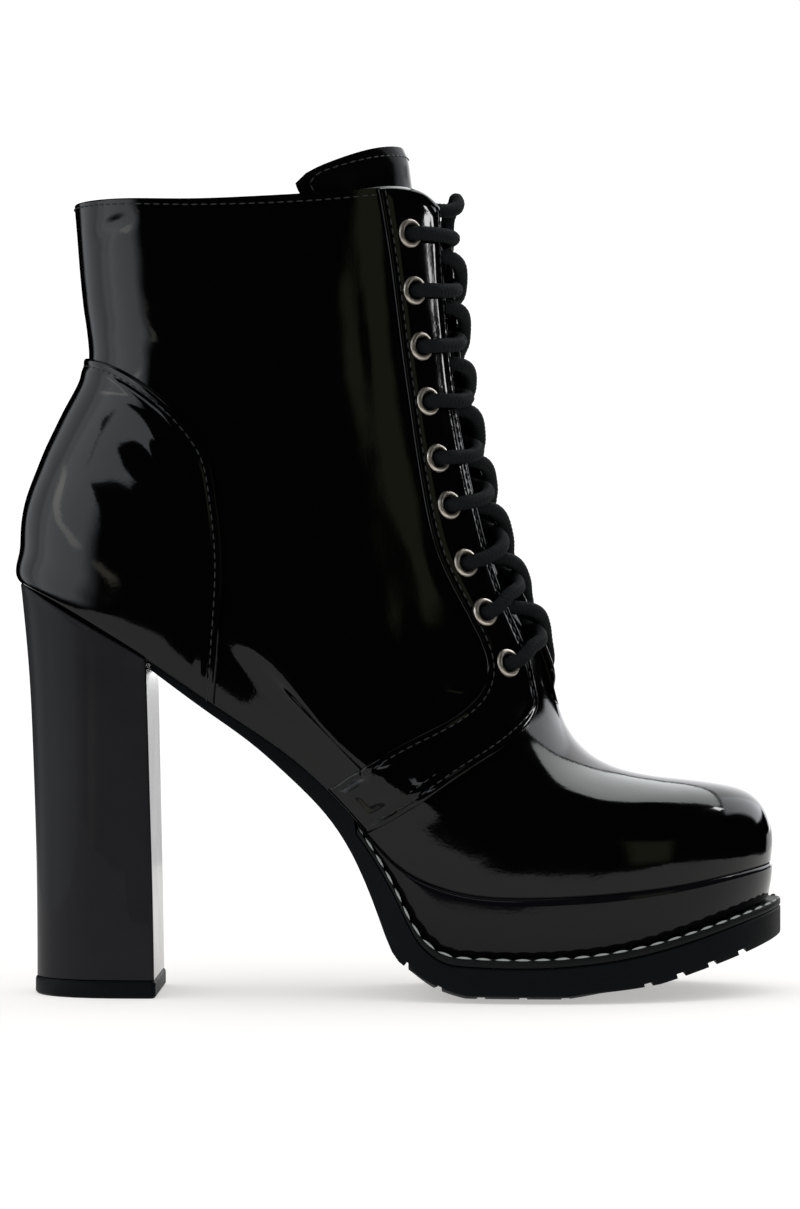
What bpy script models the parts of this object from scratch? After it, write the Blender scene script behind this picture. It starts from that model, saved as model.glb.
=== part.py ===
"""Right lace-up ankle boot with a platform sole and a block heel.

+X points to the toe, +Y to the inner (medial) side and +Z up, and the boot stands on z = 0.
The tables and sizes are in millimetres, and MM turns them into metres where meshes are made.
"""

import math

import bmesh
import bpy
import numpy as np
from mathutils import Matrix, Vector

MM = 0.001

# Driving sizes
GAP = 0.3
WALL = 2.0
OVERLAY = 1.2
SHIFT = (0.3, -0.1, 0.0)

# The upper's rings, feather line to collar: share of the way up, then the middle of the back and
# of the front
RINGS = (
    # share, back x, back z, front x, front z
    (0.000, -116.0, 126.0, 115.2, 40.4),
    (0.029, -117.2, 129.4, 115.7, 47.6),
    (0.081, -116.3, 135.4, 111.0, 59.6),
    (0.138, -115.8, 142.0, 97.8, 65.0),
    (0.219, -114.3, 151.5, 77.6, 67.3),
    (0.302, -110.8, 161.2, 58.9, 74.3),
    (0.355, -108.3, 167.4, 50.8, 84.5),
    (0.407, -105.4, 173.5, 47.6, 97.0),
    (0.468, -101.8, 180.6, 42.5, 111.0),
    (0.532, -97.9, 188.0, 36.0, 125.5),
    (0.595, -96.2, 195.4, 30.5, 140.0),
    (0.680, -97.1, 205.3, 24.5, 160.0),
    (0.780, -98.5, 217.0, 19.5, 184.0),
    (0.886, -99.5, 229.3, 16.6, 210.0),
    (1.000, -100.6, 242.6, 15.0, 235.0),
)

# Faces round each ring of the upper's mesh
COLUMNS = 32

# Where the widths below are given, as shares of a ring's length from the back to the front
WIDTH_PLACES = (0.0, 0.12, 0.3, 0.5, 0.7, 0.85, 1.0)

# Half width of the ellipse that each ring follows at those places
WIDTHS = (
    # share, back, heel, waist, middle, ball, fore, tip
    (0.00, 53.0, 41.5, 27.8, 31.5, 45.5, 53.5, 58.0),
    (0.05, 54.0, 44.5, 29.8, 33.0, 46.5, 54.0, 58.5),
    (0.14, 52.5, 46.0, 31.8, 33.5, 44.5, 47.0, 47.0),
    (0.29, 47.0, 45.5, 33.6, 33.0, 38.5, 43.5, 39.0),
    (0.43, 42.0, 43.0, 33.6, 32.5, 33.8, 36.0, 33.5),
    (0.61, 37.0, 38.5, 32.5, 32.0, 32.5, 34.0, 33.0),
    (0.80, 35.6, 37.5, 33.5, 33.5, 33.8, 36.0, 37.0),
    (1.00, 37.0, 39.5, 35.0, 35.0, 35.4, 38.5, 40.0),
)

# The last's curve: how far its middle line lies to the inner side
SWING = (
    # share of the length, inward
    (0.00, 0.0),
    (0.15, 0.0),
    (0.40, -3.0),
    (0.60, -2.5),
    (0.80, 1.5),
    (1.00, 6.0),
)
INSTEP_RIDGE = 5.0

# Side lines of the boot, each a height over x
FEATHER_LINE = (
    # x, z
    (-123.0, 130.1),
    (-116.0, 126.0),
    (-97.0, 114.6),
    (-77.4, 103.4),
    (-57.3, 90.0),
    (-40.0, 78.6),
    (-30.1, 71.2),
    (-21.0, 62.8),
    (-10.2, 51.1),
    (-1.3, 41.8),
    (8.3, 36.2),
    (19.6, 32.9),
    (36.7, 31.8),
    (59.1, 32.7),
    (75.3, 34.1),
    (89.5, 36.0),
    (102.0, 38.2),
    (115.2, 40.4),
    (122.0, 41.4),
)
COLLAR_LINE = (
    # x, z
    (-100.6, 242.6),
    (-72.7, 241.3),
    (-33.6, 242.3),
    (-9.0, 245.0),
    (3.0, 245.9),
    (9.0, 243.9),
    (12.4, 240.2),
    (15.4, 234.6),
)
PLATFORM_BASE = (
    # x, z
    (-14.0, 54.2),
    (-10.0, 48.8),
    (-5.5, 41.6),
    (-1.3, 34.0),
    (3.5, 24.0),
    (8.3, 18.0),
    (13.0, 15.0),
    (19.6, 13.9),
    (36.5, 13.5),
    (55.7, 14.6),
    (74.9, 17.7),
    (94.5, 23.0),
    (105.3, 26.2),
    (118.0, 29.8),
)
OUTSOLE_BASE = (
    # x, z
    (-76.0, 100.0),
    (-57.9, 86.6),
    (-43.4, 76.0),
    (-34.6, 68.2),
    (-25.9, 59.8),
    (-17.4, 49.0),
    (-11.5, 37.8),
    (-6.4, 24.5),
    (-2.1, 13.4),
    (2.5, 8.6),
    (7.8, 4.6),
    (13.5, 1.8),
    (20.0, 0.0),
    (50.0, 0.0),
    (59.7, 1.6),
    (72.6, 4.3),
    (91.4, 9.6),
    (102.0, 12.9),
    (119.0, 18.6),
)

# Sole layers
SOLE_STEPS = 36
STEEP_MIDDLE = 5.0
STEEP_REACH = 42.0
PLATFORM_START = -13.0
PLATFORM_EDGE = 0.6
PLATFORM_TAPER = 1.6
WELT_THICK = 2.4
WELT_EDGE = 3.0
OUTSOLE_START = -75.8
WAIST_EDGE = -1.5
LUG_GROOVES = (
    # x, depth
    (1.5, 2.6),
    (11.5, 2.4),
    (24.5, 1.5),
    (37.2, 1.4),
    (49.9, 1.4),
    (62.3, 1.4),
    (74.5, 1.4),
    (84.5, 1.4),
    (94.3, 1.4),
    (104.0, 1.4),
)
GROOVE_WIDE = 2.6
CAMBER_WIDE = 18.0
CAMBER_HIGH = 2.2
CAMBER_MIDDLE = 33.0
CAMBER_REACH = 45.0
CAMBER_FADE = 22.0

# The block heel from its top lift to the seat
HEEL_FORM = (
    # share, back x, breast x, half width
    (0.00, -112.1, -74.5, 25.0),
    (0.30, -112.4, -75.0, 25.6),
    (0.55, -113.3, -75.6, 26.8),
    (0.80, -114.8, -76.2, 28.4),
    (1.00, -117.2, -76.8, 30.0),
)
LIFT_THICK = 5.3
LIFT_PROUD = 0.5

# Insole
INSOLE_THICK = 2.6

# The slit that the laces close
THROAT = 0.372
SLIT_ROUND = 0.04
SLIT_INNER = (
    # share of the upper's height, distance of the inner edge from the middle
    (0.372, 8.5),
    (1.0, 11.0),
)
SLIT_OUTER = (
    # share of the upper's height, distance of the outer edge from the middle
    (0.372, 10.2),
    (0.440, 11.0),
    (0.520, 11.2),
    (0.610, 10.4),
    (0.700, 9.9),
    (1.0, 10.5),
)

# Edges of the overlays, seen from the side
COUNTER_EDGE = (
    # x, z
    (-97.0, 196.0),
    (-86.9, 191.9),
    (-77.8, 186.5),
    (-69.8, 180.0),
    (-62.9, 172.3),
    (-58.2, 165.0),
    (-55.2, 152.0),
    (-53.3, 133.3),
    (-54.2, 111.4),
    (-56.6, 86.0),
)
FACING_SEAM = (
    # x, z
    (-7.6, 248.0),
    (-4.2, 228.5),
    (-0.6, 201.0),
    (2.6, 178.0),
    (7.0, 150.0),
    (10.7, 135.2),
    (19.4, 117.3),
    (24.4, 107.0),
    (26.0, 100.5),
    (25.2, 95.4),
    (19.4, 87.8),
    (3.5, 78.8),
    (-23.5, 62.0),
)
BAND_EDGE = (
    # x, z
    (-13.0, 48.5),
    (-1.3, 55.0),
    (21.8, 70.0),
    (36.6, 80.5),
)

# Rows of the tongue inside the upper: share of the upper's height, half turn in degrees, and how
# far the middle leans back
TONGUE = (
    # share, half turn, lean
    (0.315, 23.0, 0.0),
    (0.360, 27.0, 0.0),
    (0.420, 32.0, 0.0),
    (0.520, 37.0, 0.0),
    (0.640, 42.0, 0.4),
    (0.760, 48.0, 1.4),
    (0.880, 58.0, 3.2),
)

# Rows of the tongue at the collar and above: half turn, lean, height at the middle and at the sides
TONGUE_TOP = (
    # half turn, lean, middle z, side z
    (68.0, 5.4, 239.5, 235.5),
    (74.0, 7.8, 247.5, 240.5),
    (77.0, 8.8, 254.5, 244.0),
    (78.0, 9.6, 261.0, 246.5),
)
TONGUE_THICK = 2.4
TONGUE_CLEAR = 1.0

# Eyelets, bottom to top: share of the upper's height
EYELET_SHARES = (0.407, 0.471, 0.534, 0.607, 0.665, 0.735, 0.801, 0.867, 0.939)
EYELET_INSET_INNER = (
    # share of the upper's height, distance from the slit's edge
    (0.372, 11.5),
    (1.0, 14.5),
)
EYELET_INSET_OUTER = (
    # share of the upper's height, distance from the slit's edge
    (0.372, 9.2),
    (0.471, 9.1),
    (0.534, 9.4),
    (0.607, 10.7),
    (0.665, 11.7),
    (0.735, 12.2),
    (0.801, 12.6),
    (0.867, 13.7),
    (0.939, 14.4),
    (1.0, 14.8),
)
EYELET_OUTER = 4.2
EYELET_HOLE = 2.5
EYELET_HIGH = 1.1

# Lace
LACE_RADIUS = 2.0
LACE_CLEAR = 0.35
LACE_LIFT = 0.3


def spline(knots, values, where):
    """Natural cubic spline through the values at the knots, read at where."""
    knots = np.asarray(knots, float)
    values = np.asarray(values, float)
    where = np.clip(np.asarray(where, float), knots[0], knots[-1])
    flat = values.reshape(len(knots), -1)
    step = np.diff(knots)
    slope = np.diff(flat, axis=0) / step[:, None]
    system = np.eye(len(knots))
    right = np.zeros(flat.shape)
    for i in range(1, len(knots) - 1):
        system[i, i - 1 : i + 2] = step[i - 1], 2 * (step[i - 1] + step[i]), step[i]
        right[i] = 6 * (slope[i] - slope[i - 1])
    bend = np.linalg.solve(system, right)
    i = np.clip(np.searchsorted(knots, where, side="right") - 1, 0, len(step) - 1)
    past = (where - knots[i])[..., None]
    left = (knots[i + 1] - where)[..., None]
    wide = step[i][..., None]
    result = (bend[i] * left**3 + bend[i + 1] * past**3) / (6 * wide)
    result = result + (flat[i] / wide - bend[i] * wide / 6) * left
    result = result + (flat[i + 1] / wide - bend[i + 1] * wide / 6) * past
    return result.reshape(where.shape + values.shape[1:])


def column(table, *places):
    """The named places of each row, as an array."""
    return np.array([[row[p] for p in places] for row in table], float)


def height(line, x):
    """Height of a side line at x."""
    return spline(column(line, 0)[:, 0], column(line, 1)[:, 0], x)


def side_point(along, share):
    """Where a point of the upper stands seen from the side: (x, z)."""
    share_1 = share[..., None]
    along_1 = along[..., None]
    shares = column(RINGS, 0)[:, 0]
    back = spline(shares, column(RINGS, 1, 2), share)
    front = spline(shares, column(RINGS, 3, 4), share)
    low_x = RINGS[0][1] + along * (RINGS[0][3] - RINGS[0][1])
    low = np.stack([low_x, height(FEATHER_LINE, low_x)], axis=-1)
    top_x = RINGS[-1][1] + along * (RINGS[-1][3] - RINGS[-1][1])
    top = np.stack([top_x, height(COLLAR_LINE, top_x)], axis=-1)
    back_low, front_low = np.array(RINGS[0][1:3]), np.array(RINGS[0][3:5])
    back_top, front_top = np.array(RINGS[-1][1:3]), np.array(RINGS[-1][3:5])
    back_bulge = back - (1 - share_1) * back_low - share_1 * back_top
    front_bulge = front - (1 - share_1) * front_low - share_1 * front_top
    result = (1 - share_1) * low + share_1 * top
    return result + (1 - along_1) * back_bulge + along_1 * front_bulge


def half_width(along, share):
    """Half width of the ellipse that the ring follows here."""
    rows = spline(column(WIDTHS, 0)[:, 0], column(WIDTHS, 1, 2, 3, 4, 5, 6, 7), share)
    weights = spline(WIDTH_PLACES, np.eye(len(WIDTH_PLACES)), along)
    return (rows * weights).sum(axis=-1)


def middle_line(along, share):
    """How far the middle of the ring lies to the inner side."""
    foot = spline(column(SWING, 0)[:, 0], column(SWING, 1)[:, 0], along)
    return (1 - share) * foot + share * INSTEP_RIDGE * along**3


def face_point(turn, share):
    """Point of the upper's outer face. The turn is 0 at the back and +-pi at the front, and it is
    positive on the outer side of the foot."""
    along = (1 - np.cos(turn)) / 2
    side = side_point(along, share)
    y = middle_line(along, share) - np.sin(turn) * half_width(along, share)
    return np.stack([side[..., 0], y, side[..., 1]], axis=-1)


def face_normal(turn, share):
    """Outward normal of that face, level at the feather line."""
    small = 1e-3
    low, high = np.clip(share - small, 0, 1), np.clip(share + small, 0, 1)
    around = face_point(turn + small, share) - face_point(turn - small, share)
    up = face_point(turn, high) - face_point(turn, low)
    normal = np.cross(around, up)
    normal[..., 2] *= np.clip(share / 0.03, 0, 1)
    return normal / np.linalg.norm(normal, axis=-1, keepdims=True)


def offset_point(turn, share, out):
    """Point at a distance outside the upper's face. At the feather line it keeps that line's
    height, so that the upper's bottom edge stays parallel to the sole."""
    turn, share = np.broadcast_arrays(np.asarray(turn, float), np.asarray(share, float))
    face = face_point(turn, share)
    moved = face + face_normal(turn, share) * out
    step = height(FEATHER_LINE, moved[..., 0]) - height(FEATHER_LINE, face[..., 0])
    moved[..., 2] += step * np.clip(1 - share / 0.03, 0, 1)
    return moved


def slit_turns(share):
    """Turns of the slit's outer and inner edges, pi and -pi where the upper is closed."""
    share = np.asarray(share, float)
    open_share = np.clip((share - THROAT) / SLIT_ROUND, 0, 1)
    rounded = np.sqrt(1 - (1 - open_share) ** 2)
    near = height(SLIT_OUTER, share)
    far = height(SLIT_INNER, share)
    one = np.ones_like(share)
    ridge = middle_line(one, share)
    wide = half_width(one, share)
    outer = math.pi - np.arcsin(rounded * (near + ridge) / wide)
    inner = np.arcsin(rounded * (far - ridge) / wide) - math.pi
    return outer, inner


def rows_of_upper():
    """Shares of the rings in the upper's mesh, closer where it bends."""
    low = [0.0, 0.016, 0.035, 0.065, 0.1, 0.14, 0.19, 0.24, 0.29, 0.335]
    throat = [THROAT, THROAT + 0.006, THROAT + 0.02, THROAT + SLIT_ROUND]
    return np.array(low + throat + [0.47, 0.53, 0.6, 0.68, 0.77, 0.86, 0.94, 1.0])


def upper_grid(out):
    """Grid of points over the whole upper at a distance from its outer face."""
    shares = rows_of_upper()
    outer, inner = slit_turns(shares)
    part = np.linspace(0, 1, COLUMNS + 1)
    turns = inner[:, None] + (outer - inner)[:, None] * part[None, :]
    return offset_point(turns, np.repeat(shares[:, None], COLUMNS + 1, axis=1), out)


def add_mesh(name, points, faces, collection, material=None):
    """New mesh object from points in millimetres."""
    mesh = bpy.data.meshes.new(name)
    moved = (np.asarray(points, float) + np.array(SHIFT)) * MM
    mesh.from_pydata([tuple(p) for p in moved], [], faces)
    work = bmesh.new()
    work.from_mesh(mesh)
    bmesh.ops.delete(work, geom=[v for v in work.verts if not v.link_faces], context="VERTS")
    bmesh.ops.remove_doubles(work, verts=work.verts, dist=0.00001)
    bmesh.ops.recalc_face_normals(work, faces=work.faces)
    work.to_mesh(mesh)
    work.free()
    mesh.shade_smooth()
    mesh.set_sharp_from_angle(angle=math.radians(35))
    obj = bpy.data.objects.new(name, mesh)
    collection.objects.link(obj)
    if material:
        mesh.materials.append(material)
    return obj


def grid_faces(rows, columns):
    """Triangles of a grid whose second side runs faster. Their diagonals all run one way, so that
    two forms at different distances stay parallel."""
    faces = []
    for r in range(rows - 1):
        for c in range(columns - 1):
            start = r * columns + c
            faces.append((start, start + 1, start + columns + 1))
            faces.append((start, start + columns + 1, start + columns))
    return faces


def shell(name, grid, thick, collection, material):
    """Wall of one thickness on the inner side of a grid of points."""
    rows, columns = grid.shape[:2]
    faces = grid_faces(rows, columns)
    obj = add_mesh(name, grid.reshape(-1, 3), faces, collection, material)
    face_out(obj)
    solidify = obj.modifiers.new("wall", "SOLIDIFY")
    solidify.thickness = thick * MM
    solidify.offset = -1.0
    return obj


def face_out(obj):
    """Turns an open shell's faces away from the middle of the boot."""
    mesh = obj.data
    middle = sum((v.co for v in mesh.vertices), Vector()) / len(mesh.vertices)
    lean = sum(p.normal.dot(p.center - middle) * p.area for p in mesh.polygons)
    if lean < 0:
        mesh.flip_normals()


def wall_between(name, inner, outer, collection, material):
    """Closed wall between two grids, whose first and last columns are one below the throat."""
    rows, columns = inner.shape[:2]
    index = np.arange(rows * columns).reshape(rows, columns)
    closed = np.linalg.norm(inner[:, 0] - inner[:, -1], axis=1) < 0.001
    index[closed, -1] = index[closed, 0]
    near = [tuple(index.ravel()[list(face)]) for face in grid_faces(rows, columns)]
    count = rows * columns
    near = [face for face in near if len(set(face)) == 3]
    far = [tuple(i + count for i in reversed(face)) for face in near]
    edges = {(face[k - 1], face[k]) for face in near for k in range(3)}
    rim = [(b, a, a + count, b + count) for a, b in edges if (b, a) not in edges]
    points = np.concatenate([inner.reshape(-1, 3), outer.reshape(-1, 3)])
    obj = add_mesh(name, points, near + far + rim, collection, material)
    return obj


def prism(name, outline, y_low, y_high, collection):
    """Cutter: a side outline carried across from y_low to y_high."""
    count = len(outline)
    points = [(x, y, z) for y in (y_low, y_high) for x, z in outline]
    faces = [tuple(range(count)), tuple(range(2 * count - 1, count - 1, -1))]
    for i in range(count):
        j = (i + 1) % count
        faces.append((i, j, count + j, count + i))
    obj = add_mesh(name, points, faces, collection)
    make_cutter(obj)
    return obj


def make_cutter(obj):
    """Keeps an object out of renders, as a tool for Booleans."""
    obj.hide_render = True
    obj.display_type = "WIRE"


def cut(obj, cutter, operation):
    """Boolean of a cutter on an object."""
    boolean = obj.modifiers.new(cutter.name, "BOOLEAN")
    boolean.solver = "EXACT"
    boolean.operation = operation
    boolean.object = cutter


def loft(name, rings, collection, material):
    """Closed solid through rings of points that run round it. Point i and point -i of a ring lie
    across from each other, and strips between them close both ends."""
    count = len(rings[0])
    points = np.concatenate(rings)
    faces = []
    for r in range(len(rings) - 1):
        for i in range(count):
            j = (i + 1) % count
            a, b = r * count, (r + 1) * count
            faces.append((a + i, a + j, b + j, b + i))
    for base in (0, (len(rings) - 1) * count):
        for i in range(count // 2):
            far_i = (count - i) % count
            quad = (base + i, base + i + 1, base + count - i - 1, base + far_i)
            corners = tuple(dict.fromkeys(quad))
            if len(corners) > 2:
                faces.append(corners)
    return add_mesh(name, points, faces, collection, material)


def turn_at(x):
    """Turn of the place on the feather line at x."""
    return math.acos(1 - 2 * (x - RINGS[0][1]) / (RINGS[0][3] - RINGS[0][1]))


def sole_plan(x_from, edge, extra=()):
    """Plan outline of a sole layer as a function of how far it is drawn in. It runs from the toe
    round the inner side to x_from and back on the outer side, and it stands outside the feather
    line by edge(x). All layers share the places along the sole, so that their facets match."""
    start = turn_at(x_from)
    places = np.linspace(0, math.pi, SOLE_STEPS + 1)
    places = places[places > start + 0.02]
    turns = np.sort([start, *places, *(turn_at(x) for x in extra)])[::-1]

    def plan(drawn_in):
        lateral = flat_offset(turns, edge, drawn_in)
        medial = flat_offset(-turns, edge, drawn_in)
        if x_from <= RINGS[0][1]:
            medial = medial[:-1]
        return np.concatenate([medial, lateral[:0:-1]])

    return plan


def flat_offset(turns, edge, drawn_in):
    """Points of the feather line moved level by edge(x) less drawn_in, and straight across along
    the waist, where the side lines are steep."""
    share = np.zeros_like(turns)
    points = face_point(turns, share)
    out = face_normal(turns, share)[:, :2]
    out[:, 0] *= np.clip(np.abs(points[:, 0] + STEEP_MIDDLE) / STEEP_REACH - 1, 0, 1)
    return points[:, :2] + out * (edge(points[:, 0]) - drawn_in)[:, None]


def layer(name, plan, low, top, edge_round, collection, material, camber=None, taper=0.0):
    """Sole layer between two side lines, with its two rims rounded by edge_round. camber(x) is
    how much the underside rises to its edge, and taper is how far the side draws in towards its
    foot."""
    under = plan(taper + (CAMBER_WIDE if camber else edge_round))
    foot = plan(taper)
    head = plan(0.0)
    over = plan(edge_round)
    rise = np.maximum(edge_round, camber(foot[:, 0])) if camber else edge_round
    rings = [
        np.column_stack([under, low(under[:, 0])]),
        np.column_stack([foot, low(foot[:, 0]) + rise]),
        np.column_stack([head, top(head[:, 0]) - edge_round]),
        np.column_stack([over, top(over[:, 0])]),
    ]
    return loft(name, rings, collection, material)


def principled(name, colour, roughness, metallic=0.0):
    """New material with the given look."""
    material = bpy.data.materials.new(name)
    material.use_nodes = True
    shader = material.node_tree.nodes["Principled BSDF"]
    shader.inputs["Base Color"].default_value = (*colour, 1.0)
    shader.inputs["Roughness"].default_value = roughness
    shader.inputs["Metallic"].default_value = metallic
    return material


def make_upper(collection, material):
    return shell("upper", upper_grid(0.0), WALL, collection, material)


def make_counter(collection, cutters, material):
    obj = wall_between("counter", upper_grid(GAP), upper_grid(GAP + OVERLAY), collection, material)
    outline = [*COUNTER_EDGE, (-135.0, 86.0), (-135.0, 196.5)]
    cut(obj, prism("counter_outline", outline, -60.0, 60.0, cutters), "INTERSECT")
    return obj


def make_facing(side, corner, collection, cutters, material):
    """Lacing facing with its band over the vamp joint. corner is where its front edge leaves the
    slit, seen from the side, and side is -1 on the outer side."""
    name = "facing_lateral" if side < 0 else "facing_medial"
    obj = wall_between(name, upper_grid(GAP), upper_grid(GAP + OVERLAY), collection, material)
    front = [(corner[0] - 1.0, corner[1] - 5.5), corner, (70.0, corner[1] + 2.0), (70.0, 252.0)]
    outline = [*FACING_SEAM, *BAND_EDGE, *front]
    near, far = sorted((side * 1.5, side * 60.0))
    cut(obj, prism(name + "_outline", outline, near, far, cutters), "INTERSECT")
    return obj


def tongue_row(share, half_turn, lean, across):
    """Row of the tongue's outer face, from its inner side to its outer one."""
    turns = math.radians(half_turn) * across
    turns = np.where(turns < 0, -math.pi - turns, math.pi - turns)
    row = offset_point(turns, np.full(across.shape, share), -(WALL + TONGUE_CLEAR))
    row[:, 0] -= lean * np.cos(across * math.pi / 2) ** 1.5
    return row


def make_tongue(collection, material):
    across = np.linspace(-1, 1, 15)
    rows = [tongue_row(*place, across) for place in TONGUE]
    for half_turn, lean, middle_z, side_z in TONGUE_TOP:
        row = tongue_row(1.0, half_turn, lean, across)
        row[:, 2] = side_z + (middle_z - side_z) * (1 - np.abs(across) ** 2.2) ** 0.65
        rows.append(row)
    return shell("tongue", np.array(rows), TONGUE_THICK, collection, material)


def make_insole(collection, material):
    def edge(x):
        return np.full(np.shape(x), -(WALL + 2 * GAP))

    def low(x):
        return height(FEATHER_LINE, x)

    def top(x):
        return height(FEATHER_LINE, x) + INSOLE_THICK

    plan = sole_plan(RINGS[0][1], edge)
    return layer("insole", plan, low, top, 0.5, collection, material)


def make_platform(collection, material):
    def edge(x):
        return np.full(np.shape(x), PLATFORM_EDGE)

    def low(x):
        return height(PLATFORM_BASE, x)

    def top(x):
        return height(FEATHER_LINE, x) - GAP

    plan = sole_plan(PLATFORM_START, edge)
    return layer("platform", plan, low, top, 0.5, collection, material, taper=PLATFORM_TAPER)


def welt_edge(x):
    """The welt and the outsole stand out under the forepart and draw in along the waist."""
    share = np.clip((x + 22.0) / 32.0, 0, 1)
    return WAIST_EDGE + (WELT_EDGE - WAIST_EDGE) * share * share * (3 - 2 * share)


def make_welt(collection, material):
    def low(x):
        return height(PLATFORM_BASE, x) - GAP - WELT_THICK

    def top(x):
        return height(PLATFORM_BASE, x) - GAP

    plan = sole_plan(PLATFORM_START, welt_edge)
    return layer("welt", plan, low, top, 0.4, collection, material)


def camber(x):
    """Rise of the outsole's underside to its edge, where the ball of the foot stands."""
    return CAMBER_HIGH * np.clip((CAMBER_REACH - np.abs(x - CAMBER_MIDDLE)) / CAMBER_FADE, 0, 1)


def outsole_base(x):
    """Underside of the outsole along its middle, flat on the floor under the ball."""
    return np.maximum(height(OUTSOLE_BASE, x), 0.0)


def outsole_top(x):
    """Under the welt at the forepart, and under the feather line at the waist."""
    under_welt = height(PLATFORM_BASE, x) - 2 * GAP - WELT_THICK
    under_upper = height(FEATHER_LINE, x) - GAP
    return np.where(x < PLATFORM_START - 2 * GAP, under_upper, under_welt)


def make_outsole(collection, cutters, material):
    step = (PLATFORM_START - 3 * GAP, PLATFORM_START - GAP)
    plan = sole_plan(OUTSOLE_START, welt_edge, step)
    obj = layer("outsole", plan, outsole_base, outsole_top, 0.4, collection, material, camber)
    cut(obj, groove_cutter(cutters), "DIFFERENCE")
    return obj


def groove_cutter(cutters):
    """Boxes across the sole where the gaps between its lugs are."""
    work = bmesh.new()
    for x, deep in LUG_GROOVES:
        low, middle, high = outsole_base(np.array([x - 2.0, x, x + 2.0]))
        slope = math.atan2(high - low, 4.0)
        place = Matrix.Translation((Vector((x, 0, middle)) + Vector(SHIFT)) * MM)
        turned = place @ Matrix.Rotation(-slope, 4, "Y")
        size = Matrix.Diagonal((GROOVE_WIDE * MM, 0.2, 2 * deep * MM, 1.0))
        bmesh.ops.create_cube(work, size=1.0, matrix=turned @ size)
    mesh = bpy.data.meshes.new("lug_grooves")
    work.to_mesh(mesh)
    work.free()
    obj = bpy.data.objects.new("lug_grooves", mesh)
    cutters.objects.link(obj)
    make_cutter(obj)
    return obj


def heel_plan(back, breast, half, steps=9):
    """D-shaped section: a flat breast, sides that draw in and a round back."""
    share = np.sin(np.linspace(0, math.pi / 2, steps))
    x = breast + (back - breast) * share
    y = half * (1 - share**3.0) ** 0.5
    medial = np.column_stack([x, y])
    lateral = np.column_stack([x, -y])
    return np.concatenate([[[breast, 0.0]], medial, lateral[-2::-1]])


def make_heel(collection, material):
    shares = np.array([0.0, 0.3, 0.55, 0.8, 0.93, 1.0])
    form = spline(column(HEEL_FORM, 0)[:, 0], column(HEEL_FORM, 1, 2, 3), shares)
    base = LIFT_THICK + GAP
    rings = []
    for share, (back, breast, half) in zip(shares, form):
        plan = heel_plan(back, breast, half)
        seat = height(FEATHER_LINE, plan[:, 0]) - GAP
        rings.append(np.column_stack([plan, base + share * (seat - base)]))
    return loft("heel", rings, collection, material)


def make_heel_tip(collection, material):
    back, breast, half = HEEL_FORM[0][1:]
    rings = []
    for z, out in ((0.0, -0.2), (0.6, LIFT_PROUD), (LIFT_THICK - 0.5, LIFT_PROUD), (LIFT_THICK, 0.0)):
        plan = heel_plan(back - out, breast + out, half + out)
        rings.append(np.column_stack([plan, np.full(len(plan), z)]))
    return loft("heel_tip", rings, collection, material)


def eyelet_inset(share, side):
    """Distance of an eyelet's centre from the slit's edge."""
    return float(height(EYELET_INSET_OUTER if side < 0 else EYELET_INSET_INNER, share))


def eyelet_turn(share, side):
    """Turn of the eyelet's centre along the ring."""
    outer, inner = slit_turns(share)
    edge = float(outer) if side < 0 else float(inner)
    turns = edge - math.copysign(1, edge) * np.linspace(0, 1.2, 121)
    ring = face_point(turns, np.full(turns.shape, share))
    run = np.concatenate([[0], np.cumsum(np.linalg.norm(np.diff(ring, axis=0), axis=1))])
    return float(np.interp(eyelet_inset(share, side), run, turns))


def make_eyelet(name, share, side, collection, material):
    turn = eyelet_turn(share, side)
    minor = (EYELET_OUTER - EYELET_HOLE) / 2
    seat = GAP + OVERLAY + GAP + EYELET_HIGH / 2
    place = offset_point(turn, share, seat)
    normal = Vector(face_normal(np.array(turn), np.array(share)))
    bpy.ops.mesh.primitive_torus_add(
        major_segments=10,
        minor_segments=4,
        major_radius=(EYELET_OUTER - minor) * MM,
        minor_radius=minor * MM,
    )
    obj = bpy.context.object
    flat = Matrix.Diagonal((1, 1, EYELET_HIGH / 2 / minor, 1))
    obj.data.transform(flat)
    obj.name = obj.data.name = name
    obj.location = Vector(place + np.array(SHIFT)) * MM
    obj.rotation_euler = normal.to_track_quat("Z", "Y").to_euler()
    obj.data.shade_smooth()
    obj.data.materials.append(material)
    for other in obj.users_collection:
        other.objects.unlink(obj)
    collection.objects.link(obj)
    return obj


def lace_route(share, next_share, side):
    """A strand from beside its eyelet, over the slit and down to the far edge."""
    turn = eyelet_turn(share, side)
    outer, inner = (float(t) for t in slit_turns(share))
    far_outer, far_inner = (float(t) for t in slit_turns(next_share))
    edge, far = outer, far_inner + 2 * math.pi
    if side > 0:
        edge, far = inner, far_outer - 2 * math.pi
    start = turn + (edge - turn) * (EYELET_OUTER + 3 * GAP) / eyelet_inset(share, side)
    over = GAP + OVERLAY + LACE_CLEAR + LACE_RADIUS + (LACE_LIFT if side > 0 else 0.0)
    rise = next_share - share
    return [
        offset_point(start, share + rise * 0.04, over + 0.3),
        offset_point(edge, share + rise * 0.20, over + 0.1),
        offset_point(edge + (far - edge) * 0.45, share + rise * 0.46, over - 1.7),
        offset_point(edge + (far - edge) * 0.72, share + rise * 0.66, over - 2.6),
    ]


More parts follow.
